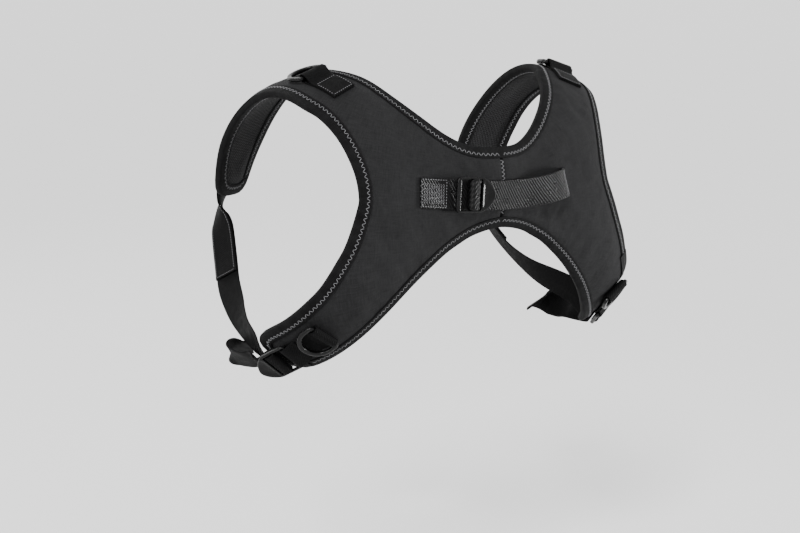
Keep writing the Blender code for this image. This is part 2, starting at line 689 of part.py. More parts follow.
def seam_tape():
    """Tape over the lining's centre seam, on the wearer's side."""
    top, bottom = RING[0], RING[-1]
    line = np.linspace(top, bottom, 7)
    found, normals = TORSO.nearest(line)
    depth = BACK_DEPTH[2] + GAP + 0.5 + 0.1
    centres = found - normals * depth
    centres[:, 0] = 0
    ribbon("centre_seam_tape", list(centres), [(1.0, 0.0, 0.0)] * len(centres), 1, 16.0, 0.8, "binding")


def build():
    face, back = np.array(FACE_HEIGHT), -np.array(BACK_DEPTH)
    for side, sign in SIDES:
        pad_layer(f"{side}_face_fabric", "face_fabric", face, face - FACE_THICKNESS, sign)
        foam_top = face - FACE_THICKNESS - GAP
        pad_layer(f"{side}_foam_core", "foam", foam_top, back + LINING_THICKNESS + GAP, sign)
        pad_layer(f"{side}_mesh_lining", "mesh_lining", back + LINING_THICKNESS, back, sign)
        shoulder_tab(side, sign)
        d_ring(f"{side}_shoulder_ring", SHOULDER_SEAT, sign)
        wing_webbing(side, sign)
        d_ring(f"{side}_wing_ring", WING_RING_SEAT, sign)
        pivot = empty_at(f"{side}_wing_lock_axis", WING_LOCK_SEAT.matrix(sign))
        ladder_lock(f"{side}_wing_lock", pivot)
        bpy.context.view_layer.update()
        lock_wrap(f"{side}_wing_lock_strap", WING_LOCK_SEAT, sign, pivot)
        side_strap(side, sign)
        strap_tail(side, sign)
        strap_doubler(side, sign)
    bindings()
    seam_tape()
    back_strap()
    back_lock()
    label()


clear_scene()
PARTS = make_collection("shoulder_harness")
build()
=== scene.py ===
"""Looks of the padded shoulder harness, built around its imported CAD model.

Lengths are millimetres until a mesh is made. The routes, outlines and seats are those of the CAD model.
"""
from collections import Counter
from math import copysign, cos, pi, radians, sin

import bmesh
import bpy
import numpy as np
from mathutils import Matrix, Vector
from mathutils.geometry import delaunay_2d_cdt
from numpy.linalg import norm


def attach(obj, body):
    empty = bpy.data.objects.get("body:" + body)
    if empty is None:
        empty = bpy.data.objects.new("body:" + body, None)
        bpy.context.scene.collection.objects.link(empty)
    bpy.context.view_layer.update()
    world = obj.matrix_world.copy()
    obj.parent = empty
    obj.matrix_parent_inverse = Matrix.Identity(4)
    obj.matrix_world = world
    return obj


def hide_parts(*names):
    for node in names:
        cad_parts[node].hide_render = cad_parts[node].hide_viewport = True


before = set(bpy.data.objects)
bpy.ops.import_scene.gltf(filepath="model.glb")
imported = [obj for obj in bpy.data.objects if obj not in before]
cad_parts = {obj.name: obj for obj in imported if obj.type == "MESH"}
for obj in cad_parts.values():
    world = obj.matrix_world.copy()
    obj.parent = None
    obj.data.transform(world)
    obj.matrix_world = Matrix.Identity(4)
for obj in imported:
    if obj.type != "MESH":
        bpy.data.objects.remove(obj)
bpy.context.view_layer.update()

MM = 0.001
SIDES = (("left", 1), ("right", -1))

# ---- sizes and routes of the CAD model

# Outline of the left half, on the outer face: each edge from the yoke's centre or chest end onwards
NECK_EDGE = [(0, -2, 41.5), (24, -8, 42), (45, -16, 51.5), (65, -27, 68), (82, -43, 84), (95, -64, 98),
             (106, -84, 104), (112, -106, 104), (115, -140, 93), (116, -172, 71), (117, -201, 42),
             (120, -221, 14), (124, -231, -12)]
ARM_EDGE = [(163, -205, -12), (166, -198, 12), (168, -186, 36), (167, -166, 60), (165, -140, 77),
            (164, -112, 86), (162, -84, 86), (158, -60, 79), (150, -46, 70), (141, -31, 52),
            (135, -18, 28), (134, -12, 8), (137, -11, -4), (148, -10, -30), (156, -13, -45),
            (167, -20, -65), (178, -29, -80), (187, -46, -95), (191, -66, -105), (192, -86, -115)]
HEM_EDGE = [(158, -72, -144), (146, -52, -136), (128, -34, -118), (108, -19, -96), (84, -11, -71),
            (57, -6, -49), (41, -5, -39.5), (24, -3, -32), (0, -1, -28)]
# Points that set how far the pad stands out between its edges: over the shoulder and along the wing
CROWN = [(133, -84, 96), (161.5, -26, -98.6), (174.3, -54.3, -120.2)]
CHEST_CENTRE = np.array((0.0, -115.0, -30.0))
SURFACE_SMOOTHING = 0.004
TURN = 0.01
SLANT = (0.3, 0.2, 0.93)
TIP_RADIUS = 17.0
SAMPLE_STEP = 3.0

# The pad's triangles: their spacing in radians about the chest, and points down the centre seam
INSIDE_STEP = 0.032
SEAM_POINTS = 26
LEAST_GAP = 1.2
WEAVE_RADIUS = 165.0

# Layers of the pad: (outer edge, binding's inner edge, middle) heights above the outline's surface
FACE_HEIGHT = (0.0, 0.8, 1.5)
BACK_DEPTH = (4.3, 5.6, 6.6)
LINING_THICKNESS = 1.1
GAP = 0.3
SEAM_GAP = 0.4
BINDING_WIDTH = 9.0
BINDING_THICKNESS = 0.8
EDGE_INSET = GAP + BINDING_THICKNESS + GAP

# How far the filling may press the cloth out, and how little next to straps and hardware
FACE_SWELL = 2.6
BACK_SWELL = 1.2
COVERED_SWELL = 0.3
SWELL_SLOPE = 0.25
SEWN_HALF = 12.0
CLOTH = {"quality": 5, "mass": 0.3, "tension_stiffness": 12, "compression_stiffness": 12,
         "shear_stiffness": 6, "bending_stiffness": 0.4, "use_pressure": True,
         "uniform_pressure_force": 4, "shrink_min": -0.02, "vertex_group_mass": "sewn"}

# Webbing and hardware
WEB_WIDTH = 25.0
WEB_THICKNESS = 1.4
SEWN_THICKNESS = 1.25
WEB_HALF = WEB_THICKNESS / 2
FINE_STEP = 0.5
WEB_LIFT = FACE_HEIGHT[2] + GAP + WEB_HALF + 0.2
RING_STOCK = 3.6
RING_WRAP = RING_STOCK / 2 + 0.9 + WEB_HALF
RING_INSIDE = 27.0
RING_REACH = 24.0
RING_LIFT = WEB_LIFT + RING_WRAP + 0.1
LOCK_THICKNESS = 3.2
LOCK_WRAP = LOCK_THICKNESS / 2 + 0.7 + WEB_HALF
LOCK_WIDTH = 29.5
LOCK_LIFT = WEB_LIFT + LOCK_WRAP + 0.1
LOCK_SLOTS = ((2.0, 12.2), (18.4, 22.0))
LOCK_RAIL = 1.9
TAB_START = 22.6

# Where the hardware sits on the left half: a point on the bar, then the point it reaches towards
SHOULDER_PATCH = (122.5, -53, 87)
SHOULDER_BAR = (133.5, -82, 100)
SHOULDER_REACH = (139, -110, 100)
SHOULDER_TILT = radians(-10)
WING_RING_BAR = (161.8, -24, -106)
WING_RING_TILT = radians(-4)
WING_LOCK_BAR = (175, -52.7, -126)
WING_LOCK_TIP = (186, -85.7, -139.7)
LOCK_TILT = radians(8)

# Side strap: points on its centre line after it leaves the pad's chest end, with the direction
# from its lower edge to its upper edge
CHEST_PATCH = ((142, -214, 24), (144, -220, -6))
SIDE_STRAP = [((146, -226, -26), (0.35, 0.9, 0.1)), ((149, -219, -43), (-0.35, 0.88, 0.25)),
              ((155, -203, -68), (-0.46, 0.7, 0.43)), ((163, -183, -89), (-0.43, 0.59, 0.5)),
              ((170, -158, -104.5), (-0.3, 0.42, 0.72)), ((176, -136, -112.5), (-0.05, 0.35, 0.93)),
              ((180.5, -117, -118), (0.15, 0.2, 0.96)), ((182.5, -99, -124), (0.3, 0.14, 0.94))]
# Loose end of the side strap: points on its centre line, and how far it has turned to TAIL_ACROSS
TAIL_CURL = [((180.5, -102, -138.5), 0.35), ((183, -116, -141), 0.75), ((185, -129, -141.5), 0.95),
             ((185.2, -139.5, -140.5), 1), ((182, -146, -138.8), 1), ((176, -148.2, -137.5), 1),
             ((170, -146.5, -137.5), 1), ((165, -141.5, -138), 1)]
TAIL_ACROSS = np.array((0.46, 0.66, 0.6))

# Back strap: distance across the back, height up it and lift off it
BACK_STRAP = [(82, 7.2, 0), (74, 6.3, 0), (66, 5.4, 0), (52, 4.0, 0), (38, 2.9, 0), (24, 2.2, 0),
              (10, 1.6, 0), (-6, 1.2, 0), (-20, 1.2, 2.5), (-34, 1.6, 7.0), (-48, 2.8, 10.6),
              (-57, 3.8, 11.0), (-64, 4.7, 9.0), (-68, 5.2, 5.0), (-70, 5.4, 1.3), (-72.5, 5.6, 0),
              (-75, 5.8, 0)]
BACK_STRAP_LIFT = WEB_LIFT + 0.5
BACK_SINK = 0.75
BACK_DEPTH_GUESS = -5
BACK_LOCK_CENTRE = (48.5, 3.3)
BACK_LOCK_LIFT = BACK_STRAP_LIFT + WEB_HALF + 2.6 + LOCK_THICKNESS / 2
PATCH = 24.5
# Where the strap's two ends are sewn down
BACK_SEWN = {"left": ((67, 5.5), (81, 7)), "right": ((71.5, 5.5), (74.5, 5.8))}

# Folded tape: its outside on one leg, as how far from its inner edge to the pad's edge and its height,
# then round the pad's edge, as tape thicknesses up, parts of the pad's depth down and thicknesses out
TAPE = GAP + BINDING_THICKNESS
TAPE_PROFILE = [(0.0, 0.45), (0.02, 0.95), (0.08, 1.12), (0.2, 1.05), (0.33, 0.86), (0.46, 0.98),
                (0.62, 1.12), (0.8, 1.05), (0.93, 0.9)]
TAPE_TURN = [(0.55, 0, 1.0), (0, 0.2, 1.4), (0, 0.5, 1.55), (0, 0.8, 1.4), (-0.55, 1, 1.0)]
TAPE_STITCHES_AT = 0.34
LABEL_ENDS = ((167, -19, -65), (181, -34, -85))

# Stitches as (length, gap), and the radii of the threads
TAB_STITCH = (1.5, 0.9)
FOLD_STITCH = (1.2, 0.5)
CHEST_STITCH = (1.3, 0.5)
CHEST_EDGE_STITCH = (1.8, 0.7)
FINE_THREAD = 0.2
TAB_THREAD = 0.26
BINDING_THREAD = 0.27
BORDER_THREAD = 0.28
SEAM_THREAD = 0.3
# Rings along a stitch: how far along it, mm above the cloth, and size in thread radii
STITCH_RINGS = ((0.03, -0.25, 0.55), (0.2, 0.12, 0.95), (0.5, 0.22, 1.05), (0.8, 0.12, 0.95),
                (0.97, -0.25, 0.55))
STITCH_CORNERS = 6

# Studio, in metres
CAMERA_SPOT = Vector((0.7357, 0.9028, 0.1530))
CAMERA_AIM = Vector((-0.5640, -0.8055, -0.1817))
CAMERA_LENS = 62.1
LIGHT_TARGET = (0.05, -0.08, -0.02)
WORLD_STRENGTH = 1.6
SUN_STRENGTH = 4.4
SUN_ANGLE = radians(15)
FLOOR = -0.45
FLOOR_RISE = 0.0016
FLOOR_TURNS = 64
FLOOR_RADII = (0.6, 1.5, 3.0, 6.0, 12.0, 20.0, 30.0, 45.0, 70.0, 100.0)


# ---- lines and directions

def unit(vectors):
    """A vector, or each row of an array, at length 1."""
    return vectors / norm(vectors, axis=-1, keepdims=True)


def mirrored(points):
    return [(-x, y, z) for x, y, z in points]


def lengths_along(points):
    """How far along a line each of its points is."""
    return np.concatenate([[0], np.cumsum(norm(np.diff(points, axis=0), axis=1))])


def taken(values, at, where):
    """Rows for the places 'where', from the values given at the places 'at'."""
    return np.stack([np.interp(where, at, column) for column in values.T], axis=1)


def quads(*corners):
    """Four-sided faces from four arrays of corners."""
    return np.stack(corners, axis=-1).reshape(-1, 4).tolist()


def bezier(before, corner, after, steps):
    return np.array([(1 - t) ** 2 * before + 2 * t * (1 - t) * corner + t ** 2 * after for t in steps])


def smooth_curve(points, before, after, count=12):
    """Catmull-Rom curve through points, given the imaginary points before its start and after its end."""
    points = [np.array(p, float) for p in [before, *points, after]]
    t = np.arange(count)[:, None] / count
    pieces = [0.5 * (2 * b + (c - a) * t + (2 * a - 5 * b + 4 * c - d) * t ** 2
                     + (3 * b - a - 3 * c + d) * t ** 3)
              for a, b, c, d in zip(points, points[1:], points[2:], points[3:])]
    return np.vstack([*pieces, points[-2]])


def beyond(inner, end):
    return tuple(2 * e - i for i, e in zip(inner, end))


def resampled(curve, start, stop):
    """Points spaced evenly along a curve, from start mm along it to stop mm from its end, as 0 or less."""
    lengths = lengths_along(curve)
    stop += lengths[-1]
    count = max(2, round((stop - start) / SAMPLE_STEP) + 1)
    return taken(curve, lengths, np.linspace(start, stop, count))


def smoothed(points, rounds):
    """Points of a line drawn a little towards their neighbours, with the ends kept."""
    points = points.copy()
    for _ in range(rounds):
        points[1:-1] += 0.5 * ((points[:-2] + points[2:]) / 2 - points[1:-1])
    return points


def distance_to_line(points, line):
    """Each point's distance to a line through points."""
    line = np.array(line, float)
    nearest = np.full(len(points), 1e9)
    for a, b in zip(line, line[1:]):
        step = b - a
        t = np.clip((points - a) @ step / (step @ step), 0, 1)
        nearest = np.minimum(nearest, norm(points - a - t[:, None] * step, axis=1))
    return nearest


def inside(point, polygon):
    crossings = 0
    for (x0, y0), (x1, y1) in zip(polygon, np.roll(polygon, -1, axis=0)):
        if (y0 > point[1]) != (y1 > point[1]):
            crossings += point[0] < x0 + (point[1] - y0) * (x1 - x0) / (y1 - y0)
    return crossings % 2 == 1


# ---- shape of the wearer's torso

class Torso:
    """A smooth surface through both halves' outlines, as a radius for each direction from the chest."""

    def __init__(self, points):
        offsets = np.array(points, float) - CHEST_CENTRE
        radii = norm(offsets, axis=1)
        self.sources = offsets / radii[:, None]
        count = len(radii)
        plane = np.hstack([np.ones((count, 1)), self.sources])
        system = np.zeros((count + 4, count + 4))
        system[:count, :count] = self.distances(self.sources) ** 3 + SURFACE_SMOOTHING * np.eye(count)
        system[:count, count:] = plane
        system[count:, :count] = plane.T
        self.weights = np.linalg.solve(system, np.concatenate([radii, np.zeros(4)]))

    def distances(self, directions):
        return norm(directions[:, None] - self.sources[None], axis=2)

    def along(self, directions):
        """Surface points in the given directions from the chest's centre."""
        directions = unit(directions)
        terms = np.hstack([self.distances(directions) ** 3, np.ones((len(directions), 1)), directions])
        return CHEST_CENTRE + directions * (terms @ self.weights)[:, None]

    def nearest(self, points):
        """Surface points and outward normals for points close to the surface."""
        points = np.atleast_2d(np.array(points, float))
        found = self.along(points - CHEST_CENTRE)
        for _ in range(3):
            normals = self.normals(found)
            slip = points - found
            slip -= (slip * normals).sum(axis=1)[:, None] * normals
            found = self.along(found + slip - CHEST_CENTRE)
        return found, self.normals(found)

    def normals(self, points):
        directions = unit(points - CHEST_CENTRE)
        side = unit(np.cross(directions, SLANT))
        rise = np.cross(directions, side)
        across = self.along(directions + TURN * side) - self.along(directions - TURN * side)
        upward = self.along(directions + TURN * rise) - self.along(directions - TURN * rise)
        normals = unit(np.cross(across, upward))
        return normals * np.sign((normals * directions).sum(axis=1))[:, None]


LEFT_OUTLINE = NECK_EDGE + ARM_EDGE + HEM_EDGE + CROWN
TORSO = Torso(LEFT_OUTLINE + mirrored([p for p in LEFT_OUTLINE if p[0] > 0]))


def rounded_tip(last, corner, next_corner, first):
    across = unit(next_corner - corner)
    start = corner + TIP_RADIUS * across
    stop = next_corner - TIP_RADIUS * across
    steps = (0.25, 0.5, 0.75)
    return np.vstack([bezier(last, corner, start, steps), start, stop,
                      bezier(stop, next_corner, first, steps)])


def bound_edge():
    """The left half's bound edge, as three runs: neck, armhole with both tips, and hem."""
    neck = smooth_curve(NECK_EDGE, mirrored([NECK_EDGE[1]])[0], beyond(NECK_EDGE[-2], NECK_EDGE[-1]))
    arm = smooth_curve(ARM_EDGE, beyond(ARM_EDGE[1], ARM_EDGE[0]), beyond(ARM_EDGE[-2], ARM_EDGE[-1]))
    hem = smooth_curve(HEM_EDGE, beyond(HEM_EDGE[1], HEM_EDGE[0]), mirrored([HEM_EDGE[-2]])[0])
    neck_run = resampled(neck, 0, -TIP_RADIUS)
    hem_run = resampled(hem, TIP_RADIUS, 0)
    arm_run = resampled(arm, TIP_RADIUS, -TIP_RADIUS)
    chest_tip = rounded_tip(neck_run[-1], neck[-1], arm[0], arm_run[0])
    wing_tip = rounded_tip(arm_run[-1], arm[-1], hem[0], hem_run[0])
    arm_run = np.vstack([neck_run[-1] + GAP * unit(neck_run[-1] - neck_run[-2]), chest_tip, arm_run,
                         wing_tip, hem_run[0] - GAP * unit(hem_run[1] - hem_run[0])])
    return [TORSO.nearest(run)[0] for run in (neck_run, arm_run, hem_run)]


def inward_directions():
    padded = np.vstack([EDGE[1] * (-1, 1, 1), EDGE, EDGE[-2] * (-1, 1, 1)])
    ahead, behind = padded[2:] - EDGE, EDGE - padded[:-2]
    along = unit(behind) * norm(ahead, axis=1)[:, None] + unit(ahead) * norm(behind, axis=1)[:, None]
    return unit(np.cross(TORSO.nearest(EDGE)[1], along))


NECK_RUN, ARM_RUN, HEM_RUN = bound_edge()
EDGE = np.vstack([NECK_RUN, ARM_RUN, HEM_RUN])
NECK = range(len(NECK_RUN))
ARM = range(len(NECK_RUN), len(NECK_RUN) + len(ARM_RUN))
HEM = range(len(NECK_RUN) + len(ARM_RUN), len(EDGE))
INWARD = inward_directions()
INSET, INSET_NORMALS = TORSO.nearest(EDGE + EDGE_INSET * INWARD)
RING = TORSO.nearest(EDGE + (EDGE_INSET + BINDING_WIDTH) * INWARD)[0]
RING, RING_NORMALS = TORSO.nearest(smoothed(RING, 8))
# How much the tape puckers at each point of the edge
PUCKER = np.random.default_rng(7).normal(0, 0.05, len(EDGE))


def angles(points):
    """A flat map of the surface, in radians about the chest."""
    offsets = np.atleast_2d(points) - CHEST_CENTRE
    flat = np.hypot(offsets[:, 0], offsets[:, 1])
    return np.stack([np.arctan2(offsets[:, 0], offsets[:, 1]), np.arctan2(offsets[:, 2], flat)], axis=1)


# ---- routes of webbing, seats of hardware

def pad_route(start, stop, lift, stop_across=None, step=9.0):
    """Centre line and across directions of webbing that lies on the pad between two points."""
    start, stop = np.array(start, float), np.array(stop, float)
    count = max(2, round(norm(stop - start) / step) + 1)
    found, normals = TORSO.nearest(np.linspace(start, stop, count))
    across = unit(np.cross(normals, stop - start))
    if stop_across is not None:
        stop_across = stop_across * np.sign(across[-1] @ stop_across)
        turned = np.linspace(0, 1, count)[:, None] ** 2
        across = unit(across * (1 - turned) + stop_across * turned)
    return list(found + normals * lift), list(across)


class Seat:
    """Where hardware sits on the pad: its bar's centre, with x ahead, y across and z away from the pad."""

    def __init__(self, bar, ahead, lift, tilt=0.0):
        found, normal = TORSO.nearest(bar)
        self.up = normal[0]
        ahead = np.array(ahead, float) - np.array(bar, float)
        self.ahead = unit(ahead - ahead @ self.up * self.up)
        self.across = np.cross(self.up, self.ahead)
        self.centre = found[0] + self.up * lift
        if tilt:
            self.ahead = self.ahead * cos(tilt) + self.up * sin(tilt)
            self.up = np.cross(self.ahead, self.across)

    def at(self, x, z):
        return self.centre + self.ahead * x + self.up * z

    def arc(self, radius, start, stop):
        """Nine points round the bar, from one angle in degrees to another: 0 is ahead, 90 is up."""
        turns = np.radians(np.linspace(start, stop, 9))
        return [self.at(radius * cos(t), radius * sin(t)) for t in turns]

    def route(self, points):
        return points, [self.across] * len(points)

    def placed(self, sign, points):
        """Points given ahead, across and up from the bar, in place on the left or the mirrored right."""
        flip = np.array((sign, 1, 1))
        ahead, up = self.ahead * flip, self.up * flip
        return self.centre * flip + np.array(points) @ np.array((ahead, np.cross(up, ahead), up))


SHOULDER_SEAT = Seat(SHOULDER_BAR, SHOULDER_REACH, RING_LIFT, SHOULDER_TILT)
WING_RING_SEAT = Seat(WING_RING_BAR, WING_LOCK_BAR, RING_LIFT, WING_RING_TILT)
WING_LOCK_SEAT = Seat(WING_LOCK_BAR, WING_LOCK_TIP, LOCK_LIFT, LOCK_TILT)


def joined(*routes):
    """Several (centres, across) routes as one, with the across directions all on the same side."""
    centres = [p for route in routes for p in route[0]]
    across = [np.array(a, float) for route in routes for a in route[1]]
    for index in range(1, len(across)):
        if across[index] @ across[index - 1] < 0:
            across[index] = -across[index]
    return centres, across


def back_line(x, z, lift):
    """A point over the yoke's back, mirrored onto the left half to find the surface."""
    found, normals = TORSO.nearest((abs(x), BACK_DEPTH_GUESS, z))
    return (found[0] + normals[0] * lift) * (copysign(1, x), 1, 1)


def back_seat():
    """The back lock lies level over the strap, its bars upright."""
    seat = Seat((38, 0, 3.0), (-60, 0, 2.0), WEB_LIFT)
    seat.ahead = unit(back_line(12, 1.7, 0) - back_line(52, 3.4, 0))
    level = np.array((0.0, 0.0, 1.0))
    seat.across = unit(level - level @ seat.ahead * seat.ahead)
    seat.up = np.cross(seat.ahead, seat.across)
    seat.centre = back_line(*BACK_LOCK_CENTRE, BACK_LOCK_LIFT)
    return seat


def through(points, step):
    """A smooth line through points, spaced evenly: cubic pieces that allow for uneven gaps."""
    points = np.array(points, float)
    lengths = lengths_along(points)
    gaps = np.diff(lengths)
    slopes = np.diff(points, axis=0) / gaps[:, None]
    tangents = np.vstack([slopes[:1], (slopes[1:] * gaps[:-1, None] + slopes[:-1] * gaps[1:, None])
                          / (gaps[1:] + gaps[:-1])[:, None], slopes[-1:]])
    at = np.linspace(0, lengths[-1], max(3, round(lengths[-1] / step) + 1))
    i = np.clip(np.searchsorted(lengths, at, side="right") - 1, 0, len(gaps) - 1)
    h = gaps[i][:, None]
    t = (at - lengths[i])[:, None] / h
    line = ((2 * t ** 3 - 3 * t ** 2 + 1) * points[i] + (t ** 3 - 2 * t ** 2 + t) * h * tangents[i]
            + (3 * t ** 2 - 2 * t ** 3) * points[i + 1] + (t ** 3 - t ** 2) * h * tangents[i + 1])
    return line, at, lengths


def eased(values, sigma):
    """Values along a line blurred by a Gaussian of sigma samples, with its ends kept."""
    reach = max(1, int(3 * sigma))
    weights = np.exp(-0.5 * (np.arange(-reach, reach + 1) / sigma) ** 2)
    weights /= weights.sum()
    head = 2 * values[:1] - values[1:reach + 1][::-1]
    tail = 2 * values[-1:] - values[-reach - 1:-1][::-1]
    long = np.vstack([head, values, tail])
    return np.stack([np.convolve(column, weights, mode="valid") for column in long.T], axis=1)


# ---- the pad's fine surface

class PadGrid:
    """Triangles over the left half, with each point's distance from the binding."""

    def __init__(self):
        kept = [0]
        for index in range(1, len(EDGE) - 1):
            if norm(EDGE[index] - EDGE[kept[-1]]) > LEAST_GAP:
                kept.append(index)
        kept.append(len(EDGE) - 1)
        outer, ring = INSET[kept].copy(), RING[kept].copy()
        count = len(kept)
        seam = TORSO.nearest(np.linspace(ring[-1], ring[0], SEAM_POINTS)[1:-1])[0]
        border = np.vstack([ring, seam])
        for loop in (outer, border):
            loop[[0, count - 1], 0] = SEAM_GAP / 2
        border[count:, 0] = SEAM_GAP / 2
        flat_border = angles(border)
        low, high = flat_border.min(axis=0), flat_border.max(axis=0)
        middle = []
        for row, y in enumerate(np.arange(low[1], high[1], INSIDE_STEP * 0.87)):
            for x in np.arange(low[0] + (row % 2) * INSIDE_STEP / 2, high[0], INSIDE_STEP):
                clear = norm(flat_border - (x, y), axis=1).min() > INSIDE_STEP * 0.55
                if clear and inside((x, y), flat_border):
                    middle.append((x, y))
        flat = [Vector(p) for p in [*flat_border, *middle]]
        triangles = delaunay_2d_cdt(flat, [], [list(range(len(flat_border)))], 1, 1e-7)[2]
        turn, rise = np.array(middle).T
        level = np.cos(rise)
        directions = np.stack([np.sin(turn) * level, np.cos(turn) * level, np.sin(rise)], axis=1)
        self.points = np.vstack([outer, border, TORSO.along(directions)])
        self.normals = TORSO.normals(self.points)
        self.faces = [[i + count for i in face] for face in triangles]
        self.faces += [[i, i + 1, i + 1 + count, i + count] for i in range(count - 1)]
        self.depth = np.zeros(len(self.points))
        self.depth[2 * count:] = distance_to_line(self.points[2 * count:], ring)
        self.outer = np.arange(len(self.points)) < count
        self.bound = np.arange(len(self.points)) < 2 * count
        self.weave = angles(self.points) * WEAVE_RADIUS
        edges = Counter(tuple(sorted(edge)) for face in self.faces
                        for edge in zip(face, face[1:] + face[:1]))
        self.rim = [edge for edge, times in edges.items() if times == 1]

    def heights(self, levels, reach):
        """Heights over the surface: at the outer edge, at the binding's inner edge and well inside."""
        rim, ring, middle = levels
        heights = ring + (middle - ring) * (1 - np.exp(-self.depth / reach))
        heights[self.outer] = rim
        return heights

    def shell(self, points, top, bottom, sign):
        """Points and faces of a closed body between two heights over the points, mirrored for the right."""
        count = len(points)
        layers = [points + self.normals * height[:, None] for height in (top, bottom)]
        walls = [[b, a, a + count, b + count] for a, b in self.rim]
        faces = self.faces + [[i + count for i in face[::-1]] for face in self.faces] + walls
        return np.vstack(layers) * (sign, 1, 1), faces


GRID = PadGrid()


# ---- making pieces

def mesh_from(name, points, faces, weave=None):
    """A closed mesh from points in mm, facing out, with the cloth's own coordinates kept as 'weave'."""
    mesh = bpy.data.meshes.new(name)
    mesh.from_pydata([tuple(p) for p in np.array(points) * MM], [], [list(map(int, f)) for f in faces])
    if weave is not None:
        attribute = mesh.attributes.new("weave", "FLOAT_VECTOR", "POINT")
        weave = np.array(weave, np.float32)
        attribute.data.foreach_set("vector", np.pad(weave, ((0, 0), (0, 1))).ravel())
    shape = bmesh.new()
    shape.from_mesh(mesh)
    bmesh.ops.recalc_face_normals(shape, faces=shape.faces)
    shape.to_mesh(mesh)
    shape.free()
    mesh.shade_smooth()
    return mesh


def piece(name, mesh, look, body="harness", stands_for=()):
    thing = bpy.data.objects.new(name, mesh)
    bpy.context.scene.collection.objects.link(thing)
    mesh.materials.append(look)
    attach(thing, body)
    if stands_for:
        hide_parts(*stands_for)
    return thing


def subdivided(thing):
    surface = thing.modifiers.new("Subdivision", "SUBSURF")
    surface.levels = surface.render_levels = 1
    graph = bpy.context.evaluated_depsgraph_get()
    mesh = bpy.data.meshes.new_from_object(thing.evaluated_get(graph), preserve_all_data_layers=True,
                                           depsgraph=graph)
    thing.modifiers.clear()
    thing.data = mesh


def solid(name, sections, around, look, body="harness", stands_for=()):
    """A closed solid through sections of the same number of corners."""
    sections = np.array(sections)
    rows, size = sections.shape[:2]
    along = lengths_along(sections.mean(axis=1))
    index = np.arange(rows * size).reshape(rows, size)
    beside = np.roll(index, -1, axis=1)
    faces = quads(index[:-1], beside[:-1], beside[1:], index[1:]) + [index[0].tolist(), index[-1].tolist()]
    weave = np.stack([np.repeat(along, size), np.tile(around, rows)], axis=1)
    thing = piece(name, mesh_from(name, sections.reshape(-1, 3), faces, weave), look, body, stands_for)
    thing.data.set_sharp_from_angle(angle=radians(60))


# ---- materials

class Look:
    """A Principled material that is put together from a few nodes."""

    def __init__(self, name, roughness, gloss, **sockets):
        self.material = bpy.data.materials.new(name)
        self.material.use_nodes = True
        self.tree = self.material.node_tree
        self.shader = self.tree.nodes["Principled BSDF"]
        for socket, value in {**sockets, "Roughness": roughness, "Specular_IOR_Level": gloss}.items():
            self.shader.inputs[socket.replace("_", " ")].default_value = value
        self.spot = self.node("TexCoord", output="Object")

    def node(self, kind, inputs=(), output=0, **settings):
        made = self.tree.nodes.new("ShaderNode" + kind)
        for key, value in settings.items():
            setattr(made, key, value)
        for key, value in dict(inputs).items():
            if isinstance(value, bpy.types.NodeSocket):
                self.tree.links.new(value, made.inputs[key])
            else:
                made.inputs[key].default_value = value
        return made.outputs[output]

    def maths(self, operation, a, b=0.0):
        return self.node("Math", {0: a, 1: b}, operation=operation)

    def total(self, *parts):
        """The sum of (value, weight) parts."""
        found = None
        for value, weight in parts:
            part = value if weight == 1 else self.maths("MULTIPLY", value, weight)
            found = self.maths("ADD", found, part) if found else part
        return found

    def weave(self):
        """The cloth's own coordinates in mm: along, across."""
        self.cloth = self.node("Attribute", output="Vector", attribute_name="weave")
        return [self.node("SeparateXYZ", {0: self.cloth}, axis) for axis in (0, 1)]

    def noise(self, scale, detail=3.0, roughness=0.5, vector=None):
        return self.node("TexNoise", {"Vector": vector or self.spot, "Scale": scale, "Detail": detail,
                                      "Roughness": roughness})

    def streaks(self, along, across):
        """Noise over the cloth's own coordinates, with its pace along and across for each mm."""
        paced = self.node("VectorMath", {0: self.cloth, 1: (along, across, 1.0)}, operation="MULTIPLY")
        return self.noise(1.0, vector=paced)

    def ranged(self, value, low, high, to_low=0.0, to_high=1.0):
        return self.node("MapRange", {0: value, 1: low, 2: high, 3: to_low, 4: to_high})

    def waves(self, coordinate, pitch):
        """A sine of the coordinate, from -1 to 1, that repeats every pitch."""
        return self.maths("SINE", self.maths("MULTIPLY", coordinate, 2 * pi / pitch))

    def colour(self, factor, dark, light):
        """A grey from dark to light, very slightly blue."""
        shades = [(grey, grey, grey * BLUE, 1) for grey in (dark, light)]
        mixed = self.node("Mix", {0: factor, 6: shades[0], 7: shades[1]}, 2, data_type="RGBA")
        self.tree.links.new(mixed, self.shader.inputs["Base Color"])

    def roughness(self, value, low, high):
        self.tree.links.new(self.ranged(value, 0.3, 0.7, low, high), self.shader.inputs["Roughness"])

    def bump(self, *layers):
        """Bumps from (height, depth in mm) layers, one on another."""
        inputs = {}
        for height, depth in layers:
            inputs.update({"Strength": 1.0, "Distance": depth * MM, "Height": height})
            inputs["Normal"] = self.node("Bump", inputs)
        self.tree.links.new(inputs["Normal"], self.shader.inputs["Normal"])
        return self.material


BLUE = 1.04


